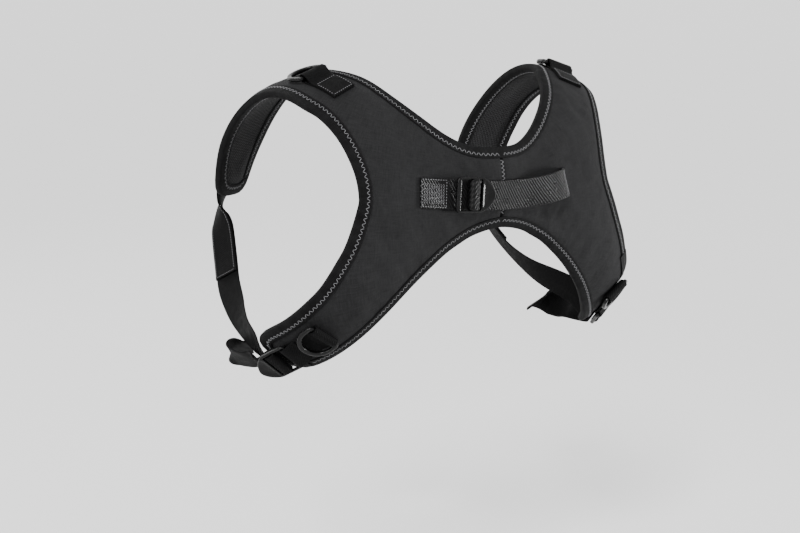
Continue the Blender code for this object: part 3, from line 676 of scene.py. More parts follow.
def face_look():
    """Matte woven nylon: a plain weave with uneven yarns both ways, soft dents and a little wear."""
    look = Look("nylon_face", 0.78, 0.05, Sheen_Weight=0.01, Sheen_Roughness=0.5)
    u, v = look.weave()
    threads = look.maths("MULTIPLY", look.waves(u, 1.15), look.waves(v, 1.15))
    yarn = look.maths("ADD", look.streaks(0.1, 1.1), look.streaks(1.1, 0.1))
    cloth = look.noise(34.0, 4.0, 0.6)
    worn = look.noise(9.0, 2.0)
    dents = look.noise(95.0, 3.0, 0.55)
    tone = look.total((threads, 0.10), (yarn, 0.6), (cloth, 0.4), (worn, 0.35))
    look.colour(look.ranged(tone, 0.65, 1.3), 0.004, 0.0135)
    look.roughness(cloth, 0.7, 0.86)
    return look.bump((cloth, 2.2), (dents, 0.7), (threads, 0.10), (yarn, 0.14))


def lining_look():
    """Black spacer mesh with small open cells."""
    look = Look("spacer_mesh", 0.9, 0.12, Sheen_Weight=0.02)
    look.weave()
    cells = look.node("TexVoronoi", {"Vector": look.cloth, "Scale": 0.42, "Randomness": 0.18}, feature="F1")
    holes = look.ranged(cells, 0.1, 0.62)
    fuzz = look.noise(60.0)
    look.colour(look.ranged(look.total((holes, 1), (fuzz, 0.4)), 0.2, 1.4), 0.003, 0.011)
    return look.bump((fuzz, 0.6), (holes, 0.7))


def binding_look():
    """Near-black grosgrain tape: fine ribs across it."""
    look = Look("grosgrain_tape", 0.7, 0.05)
    ribs = look.waves(look.weave()[0], 1.1)
    fuzz = look.noise(120.0)
    creases = look.streaks(0.16, 0.05)
    look.colour(look.ranged(look.total((ribs, 0.18), (fuzz, 1), (creases, 1)), 0.6, 1.4), 0.001, 0.005)
    look.roughness(fuzz, 0.62, 0.8)
    return look.bump((creases, 1.0), (ribs, 0.12), (fuzz, 0.2))


def webbing_look(name, dark, light, rough, gloss, relief, pitch, fuzziness):
    """Nylon webbing: slanting twill ribs, crossed by fine weft, with a soft sheen, partly a painted sheen on
    the ribs.
    """
    look = Look(name, rough, gloss, Sheen_Weight=0.0)
    u, v = look.weave()
    ribs = look.waves(look.total((u, 1), (v, 0.6)), pitch)
    weft = look.waves(look.total((v, 1), (u, -0.2)), 0.9)
    fuzz = look.noise(150.0)
    worn = look.noise(25.0, 2.0)
    # The ribs' share of the tone is a painted sheen: their crests are painted lighter and their grooves
    # darker.
    tone = look.total((ribs, 0.16), (weft, 0.08), (fuzz, 0.4), (worn, 0.4))
    look.colour(look.ranged(tone, 0.1, 0.75), dark, light)
    look.roughness(fuzz, rough - 0.06, rough + 0.08)
    return look.bump((worn, 0.7 * fuzziness), (ribs, relief), (weft, relief * 0.4),
                     (fuzz, relief * fuzziness))


def hardware_look():
    """Satin black moulded acetal, with a painted highlight: paler in patches along its convex edges."""
    look = Look("moulded_acetal", 0.27, 0.15)
    wear_and_highlight_patches = look.noise(160.0)
    edge = look.node("NewGeometry", output="Pointiness")
    # Painted highlight: the colour is lighter where pointiness marks a convex edge, in patches set by the
    # noise that also varies the roughness.
    painted_edge_highlight = look.maths("MULTIPLY", look.ranged(edge, 0.52, 0.62), look.ranged(wear_and_highlight_patches, 0.35, 0.65))
    look.colour(painted_edge_highlight, 0.001, 0.018)
    look.roughness(wear_and_highlight_patches, 0.2, 0.34)
    return look.bump((look.noise(900.0, 2.0), 0.03))


def thread_look(name, shade):
    look = Look(name, 0.7, 0.3, Sheen_Weight=0.05)
    twist = look.noise(1500.0, 2.0)
    look.colour(look.ranged(twist, 0.3, 0.7), shade * 0.6, shade)
    return look.bump((twist, 0.05))


def label_look():
    look = Look("woven_label", 0.7, 0.06)
    u, v = look.weave()
    ribs = look.maths("MULTIPLY", look.waves(u, 0.8), look.waves(v, 0.8))
    fuzz = look.noise(200.0, 2.0)
    look.colour(look.ranged(fuzz, 0.3, 0.7), 0.003, 0.007)
    return look.bump((ribs, 0.08), (fuzz, 0.15))


# ---- padded halves

def sewn_lines(side):
    """Centre lines of the webbing that holds the pad down."""
    ring, lock = WING_RING_SEAT, WING_LOCK_SEAT
    return [(SHOULDER_PATCH, SHOULDER_SEAT.at(-4, -5)),
            (ring.at(-3, -5), lock.at(-4, -5), lock.at(10, -6)), CHEST_PATCH,
            [back_line(x, z, -3) for x, z in BACK_SEWN[side]]]


def covered_lines():
    """Lines under straps and hardware, where the pad may not swell into them, and how far they reach."""
    ring, wing, lock = SHOULDER_SEAT, WING_RING_SEAT, WING_LOCK_SEAT
    return [([back_line(x, 3, -3) for x in (84, 60, 40, 20, 0.2)], 17.0),
            ((ring.at(-20, -6), ring.at(26, -9)), 20.0),
            ((wing.at(-6, -6), lock.at(0, -6), lock.at(36, -14)), 20.0)]


def swollen(thing, sewn, most):
    """Cloth pressed out by its filling: it swells between its sewn places, each point by at most 'most'."""
    rest = np.empty(len(thing.data.vertices) * 3)
    found = rest.copy()
    thing.data.vertices.foreach_get("co", rest)
    group = thing.vertex_groups.new(name="sewn")
    group.add([int(i) for i in np.flatnonzero(sewn)], 1.0, "REPLACE")
    cloth = thing.modifiers.new("Cloth", "CLOTH")
    for key, value in CLOTH.items():
        setattr(cloth.settings, key, value)
    cloth.settings.effector_weights.gravity = 0
    cloth.collision_settings.use_collision = False
    cloth.point_cache.frame_start, cloth.point_cache.frame_end = 1, 20
    for step in range(1, 21):
        bpy.context.scene.frame_set(step)
    graph = bpy.context.evaluated_depsgraph_get()
    thing.evaluated_get(graph).data.vertices.foreach_get("co", found)
    thing.modifiers.clear()
    thing.vertex_groups.clear()
    bpy.context.scene.frame_set(1)
    rest = rest.reshape(-1, 3)
    moved = found.reshape(-1, 3) - rest
    length = norm(moved, axis=1)
    return rest + moved * (np.tanh(length / most) * most / np.maximum(length, 1e-9))[:, None]


def pad(side, sign):
    """One padded half: the face and its foam as one closed body, and the mesh lining behind it."""
    top = GRID.heights(FACE_HEIGHT, 4.0)
    top -= 0.8 * np.exp(-(GRID.points[:, 0] / 2.5) ** 2) * ~GRID.outer
    foot = -GRID.heights(BACK_DEPTH, 5.0)
    points, faces = GRID.shell(GRID.points, top, foot + LINING_THICKNESS + 0.15, sign)
    weave = np.vstack([GRID.weave, GRID.weave])
    thing = piece(f"{side}_pad", mesh_from(f"{side}_pad", points, faces, weave), FACE,
                  stands_for=(f"{side}_face_fabric", f"{side}_foam_core"))
    count = len(GRID.points)
    held = GRID.bound | (GRID.points[:, 0] < 1.0)
    sewn = np.concatenate([held, held])
    for line in sewn_lines(side):
        sewn[:count] |= distance_to_line(GRID.points, line) < SEWN_HALF
    most = np.repeat([FACE_SWELL, BACK_SWELL], count)
    for line, half in covered_lines():
        beside = np.clip(distance_to_line(GRID.points, line) - half, 0, None)
        most[:count] = np.minimum(most[:count], COVERED_SWELL + beside * SWELL_SLOPE)
    swell = np.zeros((count, 3))
    spots = swollen(thing, sewn, most * MM)
    thing.data.vertices.foreach_set("co", spots.ravel())
    thing.data.update()
    swell = (spots[count:] / MM - points[count:]) * (sign, 1, 1)
    subdivided(thing)
    points, faces = GRID.shell(GRID.points + swell, foot + LINING_THICKNESS, foot, sign)
    back = piece(f"{side}_lining", mesh_from(f"{side}_lining", points, faces, weave), LINING,
                 stands_for=(f"{side}_mesh_lining",))
    subdivided(back)


# ---- stitches

def zigzag(middle, up, side, pitch, reach):
    """Starts, ends and outward directions of the stitches of a zigzag row along a line."""
    lengths = lengths_along(middle)
    at = np.arange(0.5 * pitch, lengths[-1] - 0.3 * pitch, pitch / 2)
    swing = np.where(np.arange(len(at)) % 2 == 0, reach, -reach)[:, None]
    spots = taken(middle, lengths, at) + taken(side, lengths, at) * swing
    return spots[:-1], spots[1:], taken(up, lengths, at)[:-1]


def straight_row(middle, up, stitch, gap):
    """The same for a row of single stitches."""
    lengths = lengths_along(middle)
    at = np.arange(0.3 * stitch, lengths[-1] - stitch * 0.8, stitch + gap)
    return taken(middle, lengths, at), taken(middle, lengths, at + stitch), taken(up, lengths, at)


def gathered(rows):
    """Several rows' starts, ends and directions as one."""
    return [np.vstack(part) for part in zip(*rows)]


def stitches(name, rows, radius, look):
    """Thread between pairs of points: rounded, arched over the cloth and dipping in at both ends."""
    starts, ends, ups = rows
    ups, ahead = unit(ups), unit(ends - starts)
    side = unit(np.cross(ahead, ups))
    blocks = []
    for t, lift, size in STITCH_RINGS:
        centre = starts * (1 - t) + ends * t + ups * lift
        for corner in range(STITCH_CORNERS):
            turn = 2 * pi * corner / STITCH_CORNERS
            blocks.append(centre + (side * cos(turn) + ups * sin(turn)) * radius * size)
    points = np.stack(blocks, axis=1).reshape(-1, 3)
    index = np.arange(len(blocks)).reshape(-1, STITCH_CORNERS)
    beside = np.roll(index, -1, axis=1)
    faces = [index[0].tolist(), index[-1, ::-1].tolist()]
    faces += quads(index[1:], beside[1:], beside[:-1], index[:-1])
    all_faces = [[i + len(blocks) * n for i in face] for n in range(len(starts)) for face in faces]
    mesh = bpy.data.meshes.new(name)
    mesh.from_pydata([tuple(p) for p in points * MM], [], all_faces)
    mesh.shade_smooth()
    piece(name, mesh, look)


# ---- binding

def binding_section(index, sign=1, pucker=0.0):
    """Folded tape around the pad's edge, dipped along its stitching."""
    edge, ring = INSET[index], RING[index]
    up, ring_up, out = INSET_NORMALS[index], RING_NORMALS[index], -INWARD[index]
    tip = edge + out * 0.5

    def leg(side, ring_depth, edge_depth):
        """Outside points of one leg, from the tape's inner edge to the pad's edge."""
        run = []
        for t, height in TAPE_PROFILE:
            depth = ring_depth * (1 - t) + edge_depth * t + TAPE * height + pucker * sin(pi * t)
            run.append(ring * (1 - t) + tip * t + (ring_up * (1 - t) + up * t) * side * depth)
        return run

    front = leg(1, FACE_HEIGHT[1], FACE_HEIGHT[0])
    rear = leg(-1, BACK_DEPTH[1], BACK_DEPTH[0])
    turn = [edge + up * (rise * TAPE - fall * BACK_DEPTH[0]) + out * TAPE * reach
            for rise, fall, reach in TAPE_TURN]
    inner = [ring - ring_up * (BACK_DEPTH[1] + 0.15), edge - up * (BACK_DEPTH[0] + 0.1) + out * 0.3,
             edge + up * (FACE_HEIGHT[0] + 0.1) + out * 0.3, ring + ring_up * (FACE_HEIGHT[1] + 0.15)]
    return np.array(front + turn + rear[::-1] + inner) * (sign, 1, 1)


def tape_row(indices, face):
    """Zigzag stitches on the tape's front or rear leg."""
    indices = list(indices)
    t = TAPE_STITCHES_AT
    tip = INSET[indices] - INWARD[indices] * 0.5
    up = RING_NORMALS[indices] * face
    depth = FACE_HEIGHT if face > 0 else BACK_DEPTH
    lift = depth[1] * (1 - t) + depth[0] * t + TAPE * 0.9
    return zigzag(RING[indices] * (1 - t) + tip * t + up * lift, up, INWARD[indices], 4.4, 1.6)


def bindings():
    around = lengths_along(binding_section(40))

    def tape(name, *runs):
        sections = [binding_section(i, sign, PUCKER[i]) for indices, sign in runs for i in indices]
        solid(f"{name}_tape", sections, around, BINDING, stands_for=(name,))

    tape("neck_binding", (reversed(NECK[1:]), -1), (NECK, 1))
    tape("hem_binding", (HEM, 1), (reversed(HEM[:-1]), -1))
    for side, sign in SIDES:
        tape(f"{side}_armhole_binding", (ARM, sign))
    for side, sign in SIDES:
        rows = gathered(tape_row(indices, face) for indices in (NECK, ARM, HEM) for face in (1, -1))
        stitches(f"{side}_binding_stitches", [part * (sign, 1, 1) for part in rows], BINDING_THREAD, THREAD)


def label():
    """Small blank label folded over the right armhole's binding, on the wing."""
    ends = [norm(EDGE - np.array(spot), axis=1).argmin() for spot in LABEL_ENDS]
    sections = []
    for index in range(ends[0], ends[1] + 1):
        up = INSET_NORMALS[index]
        onto = [TORSO.nearest(RING[index] + INWARD[index] * reach)[0][0] + up * (FACE_HEIGHT[2] + 0.35)
                for reach in (3.6, 1.2)]
        top = np.vstack([onto, binding_section(index)[2:len(TAPE_PROFILE)]])
        sections.append(np.vstack([top + up * 0.75, (top + up * 0.2)[::-1]]) * (-1, 1, 1))
    solid("edge_label_woven", sections, lengths_along(sections[0]), LABEL,
          stands_for=("edge_label",))


# ---- webbing

class Strip:
    """Webbing along a smooth route, with frames to place stitches on it. Sign -1 mirrors it."""

    def __init__(self, centres, across, sign=1, width=WEB_WIDTH, thickness=WEB_THICKNESS, outward=None,
                 ease=2.0, step=1.8, sway=6.0):
        flip = np.array((sign, 1, 1))
        centres, at, lengths = through(np.array(centres) * flip, FINE_STEP)
        sides = taken(unit(np.array(across, float)) * flip, lengths, at)
        sides = eased(sides, sway) if len(sides) > 3 * sway else sides
        centres = eased(centres, ease) if len(centres) > 8 * ease else centres
        self.at = np.linspace(0, at[-1], max(3, round(at[-1] / step) + 1))
        self.length = at[-1]
        self.centres = taken(centres, at, self.at)
        ahead = unit(np.gradient(self.centres, axis=0))
        sides = taken(sides, at, self.at)
        self.across = unit(sides - (sides * ahead).sum(axis=1)[:, None] * ahead)
        self.up = np.cross(ahead, self.across)
        if outward is None:
            outward = TORSO.nearest(self.centres[0] * flip)[1][0]
        if self.up[0] @ (np.array(outward) * flip) < 0:
            self.up = -self.up
        self.width, self.thickness = width, thickness

    def line(self, a0, s0, a1, s1, count):
        """Points and normals on the upper face between two places: mm along it and mm from its middle."""
        t = np.linspace(0, 1, count)
        along, side = a0 + (a1 - a0) * t, s0 + (s1 - s0) * t
        up = taken(self.up, self.at, along)
        middle = taken(self.centres, self.at, along) + up * (self.thickness / 2)
        return middle + taken(self.across, self.at, along) * side[:, None], up

    def rows(self, rows, stitch, gap):
        """Rows of stitches, each (from along, side, to along, side): below 0 counts back from the end."""
        found = []
        for a0, s0, a1, s1 in rows:
            a0, a1 = (a + self.length if a < 0 else a for a in (a0, a1))
            found.append(straight_row(*self.line(a0, s0, a1, s1, 12), stitch, gap))
        return gathered(found)

    def zigzag(self, a0, s0, a1, s1, pitch, reach):
        spots, up = self.line(a0, s0, a1, s1, 24)
        return zigzag(spots, up, unit(np.cross(up, spots[-1] - spots[0])), pitch, reach)

    def make(self, name, look, body="harness", wobble=0.06, seed=1):
        """The webbing as a piece, with its edges rounded and a little uneven."""
        w, t = self.width / 2, self.thickness / 2
        edge = min(0.6, t)
        flat = np.linspace(edge - w, w - edge, 11)
        rim = [(w - edge * 0.3, t * 0.72), (w, 0.0), (w - edge * 0.3, -t * 0.72)]
        profile = np.array([(s, t) for s in flat] + rim + [(s, -t) for s in flat[::-1]]
                           + [(-s, -h) for s, h in rim])
        shift = np.zeros(len(self.centres))
        if wobble:
            noise = np.random.default_rng(seed).normal(0, 1, len(self.centres))
            kernel = np.exp(-0.5 * (np.arange(-9, 10) / 3.0) ** 2)
            shift = np.convolve(noise, kernel / kernel.sum(), mode="same") * wobble * 2.5
        sections = (self.centres[:, None] + self.up[:, None] * profile[None, :, 1:]
                    + self.across[:, None] * (profile[None, :, :1] + shift[:, None, None]))
        solid(name + "_woven", sections, profile[:, 0], look, body, (name,))


def box_rows(near, far, side, start):
    """Rows of stitches round a patch of webbing."""
    return [(near, -side, near, side), (far, -side, far, side),
            (start, -side, far, -side), (start, side, far, side)]


def shoulder_tab(side, sign):
    seat = SHOULDER_SEAT
    lift = FACE_HEIGHT[2] + SEWN_THICKNESS / 2 + 0.1
    lower = pad_route(SHOULDER_PATCH, seat.at(-7, 0), lift, seat.across)
    upper = pad_route(SHOULDER_PATCH, seat.at(-10, 0), lift + SEWN_THICKNESS + 0.08, seat.across)
    whole = joined(lower, seat.route(seat.arc(RING_WRAP, -90, 130)), (upper[0][::-1], upper[1][::-1]))
    inside_out = -TORSO.nearest(SHOULDER_PATCH)[1][0]
    strip = Strip(*whole, sign, thickness=SEWN_THICKNESS, outward=inside_out, ease=1.6)
    strip.make(f"{side}_shoulder_tab", WEBBING, seed=3 + sign)
    rows = strip.rows(box_rows(-1.5, -20.5, 11.0, -2.5), *TAB_STITCH)
    stitches(f"{side}_shoulder_stitches", rows, TAB_THREAD, THREAD)


def wing_webbing(side, sign):
    ring, lock = WING_RING_SEAT, WING_LOCK_SEAT
    tucked = ring.route([ring.at(10, -1.7), ring.at(6.5, -1.2), ring.at(3.3, 1.5)])
    along = pad_route(ring.at(5, 0), lock.at(-6, 0), WEB_LIFT, lock.across)
    fold = lock.route(lock.arc(LOCK_WRAP + 0.2, -95, 110))
    back = lock.route([lock.at(-4.5, 1.9), lock.at(-8, -0.1), lock.at(-12, -1.1)])
    route = joined(tucked, ring.route(ring.arc(RING_WRAP, 75, 270)), along, fold, back)
    strip = Strip(*route, sign, outward=-ring.up, ease=1.6)
    strip.make(f"{side}_wing_webbing", WEBBING, seed=5 + sign)
    rows = strip.rows([(at, -11.0, at, 11.0) for at in (-1.5, -3.0, -6.4)], *FOLD_STITCH)
    stitches(f"{side}_wing_fold_stitches", rows, TAB_THREAD, THREAD)


def side_strap(side, sign):
    """The strap from the chest end round to the wing's lock, with a second layer where it starts."""
    lock = WING_LOCK_SEAT
    chest = pad_route(*CHEST_PATCH, WEB_LIFT)
    start = len(chest[0])
    points = [p for p, _ in SIDE_STRAP] + [lock.at(27, -8.5), lock.at(18, -6.2), lock.at(10.5, -5)]
    sides = joined(chest, (points, [a for _, a in SIDE_STRAP] + [-lock.across] * 3))[1]
    centres = chest[0] + list(smooth_curve(points, chest[0][-1], lock.at(3, -4.5), 3))
    across = sides[:start] + list(smooth_curve(sides[start:], sides[start - 1], sides[-1], 3))
    strip = Strip(centres, across, sign, ease=3.0)
    strip.make(f"{side}_side_strap", WEBBING, wobble=0.12, seed=8 + sign)
    centres, across = np.array(centres[1:start + 9]), np.array(across[1:start + 9])
    outward = unit(np.cross(across, unit(np.gradient(centres, axis=0))))
    outward *= np.sign(outward[0] @ TORSO.nearest(centres[0])[1][0])
    over = Strip(centres + outward * (WEB_THICKNESS + 4 * GAP), across, sign, WEB_WIDTH - 1.5, ease=3.0)
    over.make(f"{side}_strap_doubler", WEBBING, seed=11 + sign)
    ends = [over.rows([(at, -10.1, at, 10.1)], *CHEST_STITCH) for at in (1.6, 3.2, -1.8)]
    edges = over.rows([(3.2, s, -2, s) for s in (-10.1, 10.1)], *CHEST_EDGE_STITCH)
    stitches(f"{side}_chest_stitches", gathered([*ends[:2], edges, ends[2]]), TAB_THREAD, THREAD)


def lock_wrap(name, seat, sign, body, look):
    """The stretch of strap over a lock's middle bar, which moves with the lock."""
    inner, outer, top = LOCK_SLOTS[0][1] - 1.0, LOCK_SLOTS[1][0] + 1.0, LOCK_THICKNESS / 2 + 0.85
    profile = [(outer, -2.3), (outer, top - 1.5), (outer - 0.5, top - 0.4), (outer - 1.6, top),
               (inner + 1.6, top + 0.15), (inner + 0.5, top - 0.3), (inner, top - 1.5), (inner, -2.3)]
    strip = Strip(*seat.route([seat.at(x, z) for x, z in profile]), sign, outward=seat.ahead, ease=0.8,
                  step=0.9)
    strip.make(name, look, body=body, wobble=0.0)


def strap_tail(side, sign):
    """The side strap's loose end, which curls back past the lock."""
    lock = WING_LOCK_SEAT
    points = [lock.at(20.2, -3.6), lock.at(26, -3.9), lock.at(33, -4.4)] + [p for p, _ in TAIL_CURL]
    turned = [0, 0, 0] + [turned for _, turned in TAIL_CURL]
    across = [-lock.across * (1 - t) + TAIL_ACROSS * t for t in turned]
    centres = smooth_curve(points, lock.at(15, -3.4), TAIL_CURL[-1][0], 4)
    turns = smooth_curve(across, across[0], across[-1], 4)
    strip = Strip(centres, turns, sign, outward=lock.up, ease=4.0, sway=16.0)
    strip.make(f"{side}_strap_tail", WEBBING, wobble=0.0)


def back_strap():
    centres, across = [], []
    for x, z, lift in BACK_STRAP:
        normal = TORSO.nearest((abs(x), BACK_DEPTH_GUESS, z))[1][0] * (copysign(1, x), 1, 1)
        side = np.array((0.3 * max(0.0, (-x - 10) / 70), 0.0, 1.0))
        across.append(side - (side @ normal) * normal)
        sewn = np.clip((x - 54) / 4, 0, 1) + np.clip((-70 - x) / 3, 0, 1)
        centres.append(back_line(x, z, BACK_STRAP_LIFT + lift - BACK_SINK * sewn))
    strip = Strip(centres, across, outward=(0, 1, 0), ease=2.5)
    strip.make("back_strap", SHINY_WEBBING, wobble=0.08, seed=21)
    border = strip.rows([(1.2, -11.3, 1.2, 11.3), (1.2, -11.2, PATCH, -11.2), (1.2, 11.2, PATCH, 11.2),
                         (PATCH, -11.2, PATCH, 11.2)], *TAB_STITCH)
    stitches("back_patch_border", border, BORDER_THREAD, PALE_THREAD)
    dense = [strip.zigzag(at, -9.5, at, 9.5, 2.3, 0.8) for at in 3.6 + 2.3 * np.arange(9)]
    end, bow = strip.length, strip.length - 16
    dense += [strip.zigzag(at, -11.0, at, 11.0, 1.5, 0.6) for at in (end - 1.6, end - 3.1)]
    dense.append(strip.zigzag(bow, -11.0, bow, 11.0, 2.0, 1.0))
    dense.append(strip.rows([(at, -11.0, at, 11.0) for at in (bow - 1.9, bow + 1.9)], 1.5, 0.7))
    stitches("back_patch_stitches", gathered(dense), FINE_THREAD, THREAD)


def centre_seam():
    """Tape over the seam on the wearer's side, and zigzag stitching down the seam of the face."""
    found, normals = TORSO.nearest(np.linspace(RING[0], RING[-1], 7))
    centres = found - normals * (BACK_DEPTH[2] + GAP + 0.6)
    centres[:, 0] = 0
    strip = Strip(centres, [(1.0, 0.0, 0.0)] * len(centres), 1, 16.0, 0.8, outward=(0, -1, 0))
    strip.make("centre_seam_tape", BINDING)
    rows = [strip.zigzag(2, s, strip.length - 2, s, 3.2, 1.0) for s in (-5.0, 5.0)]
    stitches("seam_tape_stitches", gathered(rows), TAB_THREAD, THREAD)
    found, normals = TORSO.nearest(np.linspace(RING[0], RING[-1], 60))
    spots = found + normals * (FACE_HEIGHT[2] - 0.65)
    spots[:, 0] = 0
    side = np.tile((1.0, 0.0, 0.0), (len(spots), 1))
    stitches("centre_seam_stitches", zigzag(spots, normals * (0, 1, 1), side, 3.4, 1.7), SEAM_THREAD, THREAD)


# ---- hardware

def moulding(name, seat, sign, points, faces):
    mesh = mesh_from(name + "_moulding", seat.placed(sign, points), faces)
    piece(name + "_moulding", mesh, HARDWARE, name, (name,))


def d_ring(name, seat, sign):
    """Moulded ring: a rounded, slightly flattened section swept along a D."""
    middle = (RING_INSIDE + RING_STOCK) / 2
    corner, reach, straight = 2.6, RING_REACH - 2.1, 8.0
    path = [(straight + (reach - straight) * cos(t), middle * sin(t))
            for t in np.radians(np.linspace(-90, 90, 61))]
    leg = [(x, middle) for x in np.linspace(straight, corner, 5)[1:]]
    leg += [(corner - corner * sin(t), middle - corner + corner * cos(t))
            for t in np.radians(np.linspace(10, 80, 8))]
    bar = [(0, y) for y in np.linspace(middle - corner, corner - middle, 13)]
    path = np.array(path + leg + bar + [(x, -y) for x, y in leg[::-1]])
    ahead = unit(np.roll(path, -1, axis=0) - np.roll(path, 1, axis=0))
    out = np.stack([ahead[:, 1], -ahead[:, 0]], axis=1)
    turns = np.linspace(0, 2 * pi, 28, endpoint=False)
    wave = np.stack([np.cos(turns), np.sin(turns)], axis=1)
    ring = np.sign(wave) * np.abs(wave) ** 0.62
    front = np.clip((path[:, 0] - straight) / (reach - straight), 0, 1)
    wide = (RING_STOCK + 0.6 * front) / 2
    points = np.zeros((len(path), len(turns), 3))
    points[:, :, :2] = path[:, None] + out[:, None] * (ring[None, :, :1] * wide[:, None, None])
    points[:, :, 2] = ring[None, :, 1] * RING_STOCK / 2
    index = np.arange(len(path) * len(turns)).reshape(len(path), len(turns))
    following = np.roll(index, -1, axis=0)
    faces = quads(index, np.roll(index, -1, axis=1), np.roll(following, -1, axis=1), following)
    moulding(name, seat, sign, points.reshape(-1, 3), faces)


def rounded_loop(points, radius, step=0.8):
    """A closed outline with its corners rounded, its points spaced evenly, counter-clockwise."""
    points = [np.array(p, float) for p in points]
    found = []
    for before, here, after in zip(points[-1:] + points[:-1], points, points[1:] + points[:1]):
        back, on = before - here, after - here
        reach = min(radius, 0.45 * norm(back), 0.45 * norm(on))
        found.append(bezier(here + unit(back) * reach, here, here + unit(on) * reach, np.linspace(0, 1, 5)))
    closed = np.vstack([*found, found[0][:1]])
    lengths = lengths_along(closed)
    at = np.linspace(0, lengths[-1], max(8, round(lengths[-1] / step)), endpoint=False)
    loop = taken(closed, lengths, at)
    x, y = loop.T
    return loop if (x * np.roll(y, -1) - y * np.roll(x, -1)).sum() > 0 else loop[::-1]


def inset_by(outline, depth):
    ahead = unit(np.roll(outline, -1, axis=0) - np.roll(outline, 1, axis=0))
    return outline + np.stack([-ahead[:, 1], ahead[:, 0]], axis=1) * depth


def plate(rim, holes, thickness, edge):
    """Points and faces of a moulded plate with rounded edges, given loops round it and its holes."""
    levels = [(edge * (1 - cos(t)), thickness / 2 + edge * sin(t) - edge)
              for t in np.radians((0, 22, 45, 67, 90))]
    levels = [(d, -z) for d, z in levels[::-1]] + levels
    points, faces, caps = [], [], []
    for loop in (rim, *holes):
        start, size = len(points), len(loop)
        for depth, z in levels:
            points += [(x, y, z) for x, y in inset_by(loop, depth)]
        for a in range(start, start + (len(levels) - 1) * size, size):
            faces += [[a + i, a + (i + 1) % size, a + (i + 1) % size + size, a + i + size]
                      for i in range(size)]
        caps.append((start, start + (len(levels) - 1) * size, size))
    for top in (False, True):
        names, loops, edges = [], [], []
        for cap in caps:
            base, size = len(names), cap[2]
            names += range(cap[top], cap[top] + size)
            loops.append(np.array([points[i][:2] for i in names[base:]]))
            edges += [(base + i, base + (i + 1) % size) for i in range(size)]
        flat = np.vstack(loops)

        def within(spot):
            return inside(spot, loops[0]) and not any(inside(spot, hole) for hole in loops[1:])

        low, high = loops[0].min(axis=0), loops[0].max(axis=0)
        extra = [(x, y) for row, y in enumerate(np.arange(low[1], high[1], 0.9))
                 for x in np.arange(low[0] + (row % 2) * 0.5, high[0], 1.05)
                 if norm(flat - (x, y), axis=1).min() > 0.6 and within((x, y))]
        new, _, triangles = delaunay_2d_cdt([Vector(p) for p in [*flat, *extra]], edges, [], 0, 1e-7)[:3]
        z = thickness / 2 if top else -thickness / 2
        for spot in new[len(names):]:
            names.append(len(points))
            points.append((spot[0], spot[1], z))
        for face in triangles:
            if within(np.mean([tuple(new[i]) for i in face], axis=0)):
                faces.append([names[i] for i in (face if top else face[::-1])])
    return np.array(points), faces


def ladder_lock(name, seat, sign):
    """Adjuster frame: rails, a rear and a middle bar, and a dished, pointed thumb tab with a ridge across
    its start.
    """
    half = LOCK_WIDTH / 2
    shore = [(0, -half), (22.5, -half), (26, 1.7 - half), (29.5, 4.4 - half), (32.2, 7.8 - half),
             (34, 11.4 - half)]
    rim = [(-2, 2 - half), *shore, (34.8, 0), *[(x, -y) for x, y in reversed(shore)], (-2, half - 2)]
    outline = rounded_loop(rim, 2.0)
    side = half - LOCK_RAIL
    holes = [rounded_loop([(a, -side), (b, -side), (b, side), (a, side)], 0.7)[::-1] for a, b in LOCK_SLOTS]
    points, faces = plate(outline, holes, LOCK_THICKNESS, 0.8)
    x, y, z = points.T
    from_edge = distance_to_line(points[:, :2], np.vstack([outline, outline[:1]]))
    lip = 0.45 * np.exp(-((from_edge - 1.0) / 0.8) ** 2)
    dish = -0.75 * np.clip((from_edge - 1.8) / 3.0, 0, 1)
    ridge = 0.4 * np.exp(-((x - 23.4) / 0.6) ** 2) * (np.abs(y) < half - 1.5)
    crown = np.clip((x - TAB_START) / 1.5, 0, 1) * (lip + dish) + ridge
    bend = 0.02 * np.clip(x - 22.5, 0, None) ** 1.7
    points[:, 2] += np.clip(z / (LOCK_THICKNESS / 2), 0, 1) * crown + bend
    moulding(name, seat, sign, points, faces)


# ---- stage

def aim(thing, target):
    thing.rotation_euler = (Vector(target) - thing.location).to_track_quat("-Z", "Y").to_euler()


def added(name, data, spot=(0, 0, 0)):
    thing = bpy.data.objects.new(name, data)
    bpy.context.scene.collection.objects.link(thing)
    thing.location = spot
    return thing


def area_light(name, spot, size, power, spread=180):
    data = bpy.data.lights.new(name, "AREA")
    data.shape = "RECTANGLE"
    data.size, data.size_y = size
    data.energy = power
    data.spread = radians(spread)
    thing = added(name, data, spot)
    thing.visible_camera = False
    aim(thing, LIGHT_TARGET)


def floor():
    """A wide, very shallow dish."""
    points = [(0, 0, FLOOR)]
    points += [(r * cos(2 * pi * i / FLOOR_TURNS), r * sin(2 * pi * i / FLOOR_TURNS),
                FLOOR + FLOOR_RISE * r * r) for r in FLOOR_RADII for i in range(FLOOR_TURNS)]
    index = 1 + np.arange(len(points) - 1).reshape(-1, FLOOR_TURNS)
    beside = np.roll(index, -1, axis=1)
    faces = [(0, a, b) for a, b in zip(index[0].tolist(), beside[0].tolist())]
    faces += quads(index[:-1], index[1:], beside[1:], beside[:-1])
    mesh = bpy.data.meshes.new("studio_floor")
    mesh.from_pydata(points, [], faces)
    mesh.shade_smooth()
    look = bpy.data.materials.new("pale_floor")
    look.use_nodes = True
    shader = look.node_tree.nodes["Principled BSDF"]
    shader.inputs["Base Color"].default_value = (0.6, 0.6, 0.6, 1)
    shader.inputs["Roughness"].default_value = 0.9
    mesh.materials.append(look)
    added("studio_floor", mesh)


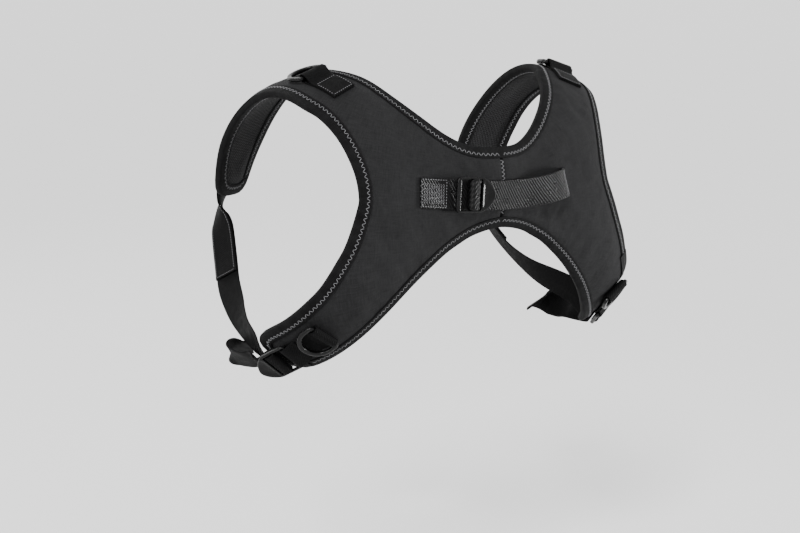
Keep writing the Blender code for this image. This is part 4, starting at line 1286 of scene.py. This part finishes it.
def studio():
    world = bpy.data.worlds.new("studio")
    world.use_nodes = True
    world.node_tree.nodes["Background"].inputs["Color"].default_value = (1, 1, 1, 1)
    world.node_tree.nodes["Background"].inputs["Strength"].default_value = WORLD_STRENGTH
    bpy.context.scene.world = world
    sun = bpy.data.lights.new("key", "SUN")
    sun.energy, sun.angle = SUN_STRENGTH, SUN_ANGLE
    aim(added("key", sun, (1.6, 1.3, 1.7)), (0, 0, 0))
    area_light("right_strip", (-1.65, 1.15, -0.15), (0.3, 0.5), 17, 90)
    area_light("left_strip", (1.9, 0.1, 0.5), (0.35, 1.0), 30)
    area_light("front", (0.3, -2.0, 1.2), (1.2, 1.2), 12)
    floor()
    data = bpy.data.cameras.new("camera")
    data.lens = CAMERA_LENS
    data.sensor_width = 36
    camera = added("camera", data, CAMERA_SPOT)
    aim(camera, CAMERA_SPOT + CAMERA_AIM)
    bpy.context.scene.camera = camera


# ---- the harness

FACE = face_look()
LINING = lining_look()
BINDING = binding_look()
WEBBING = webbing_look("webbing", 0.0007, 0.003, 0.58, 0.04, 0.14, 1.75, 0.7)
SHINY_WEBBING = webbing_look("back_webbing", 0.0006, 0.004, 0.3, 0.095, 0.12, 2.6, 0.15)
HARDWARE = hardware_look()
THREAD = thread_look("grey_thread", 0.10)
PALE_THREAD = thread_look("pale_thread", 0.13)
LABEL = label_look()

for side, sign in SIDES:
    pad(side, sign)
    shoulder_tab(side, sign)
    d_ring(f"{side}_shoulder_ring", SHOULDER_SEAT, sign)
    wing_webbing(side, sign)
    d_ring(f"{side}_wing_ring", WING_RING_SEAT, sign)
    ladder_lock(f"{side}_wing_lock", WING_LOCK_SEAT, sign)
    lock_wrap(f"{side}_wing_lock_strap", WING_LOCK_SEAT, sign, f"{side}_wing_lock", WEBBING)
    side_strap(side, sign)
    strap_tail(side, sign)
bindings()
label()
centre_seam()
back_strap()
ladder_lock("back_lock", back_seat(), 1)
lock_wrap("back_lock_strap", back_seat(), 1, "back_lock", SHINY_WEBBING)
studio()
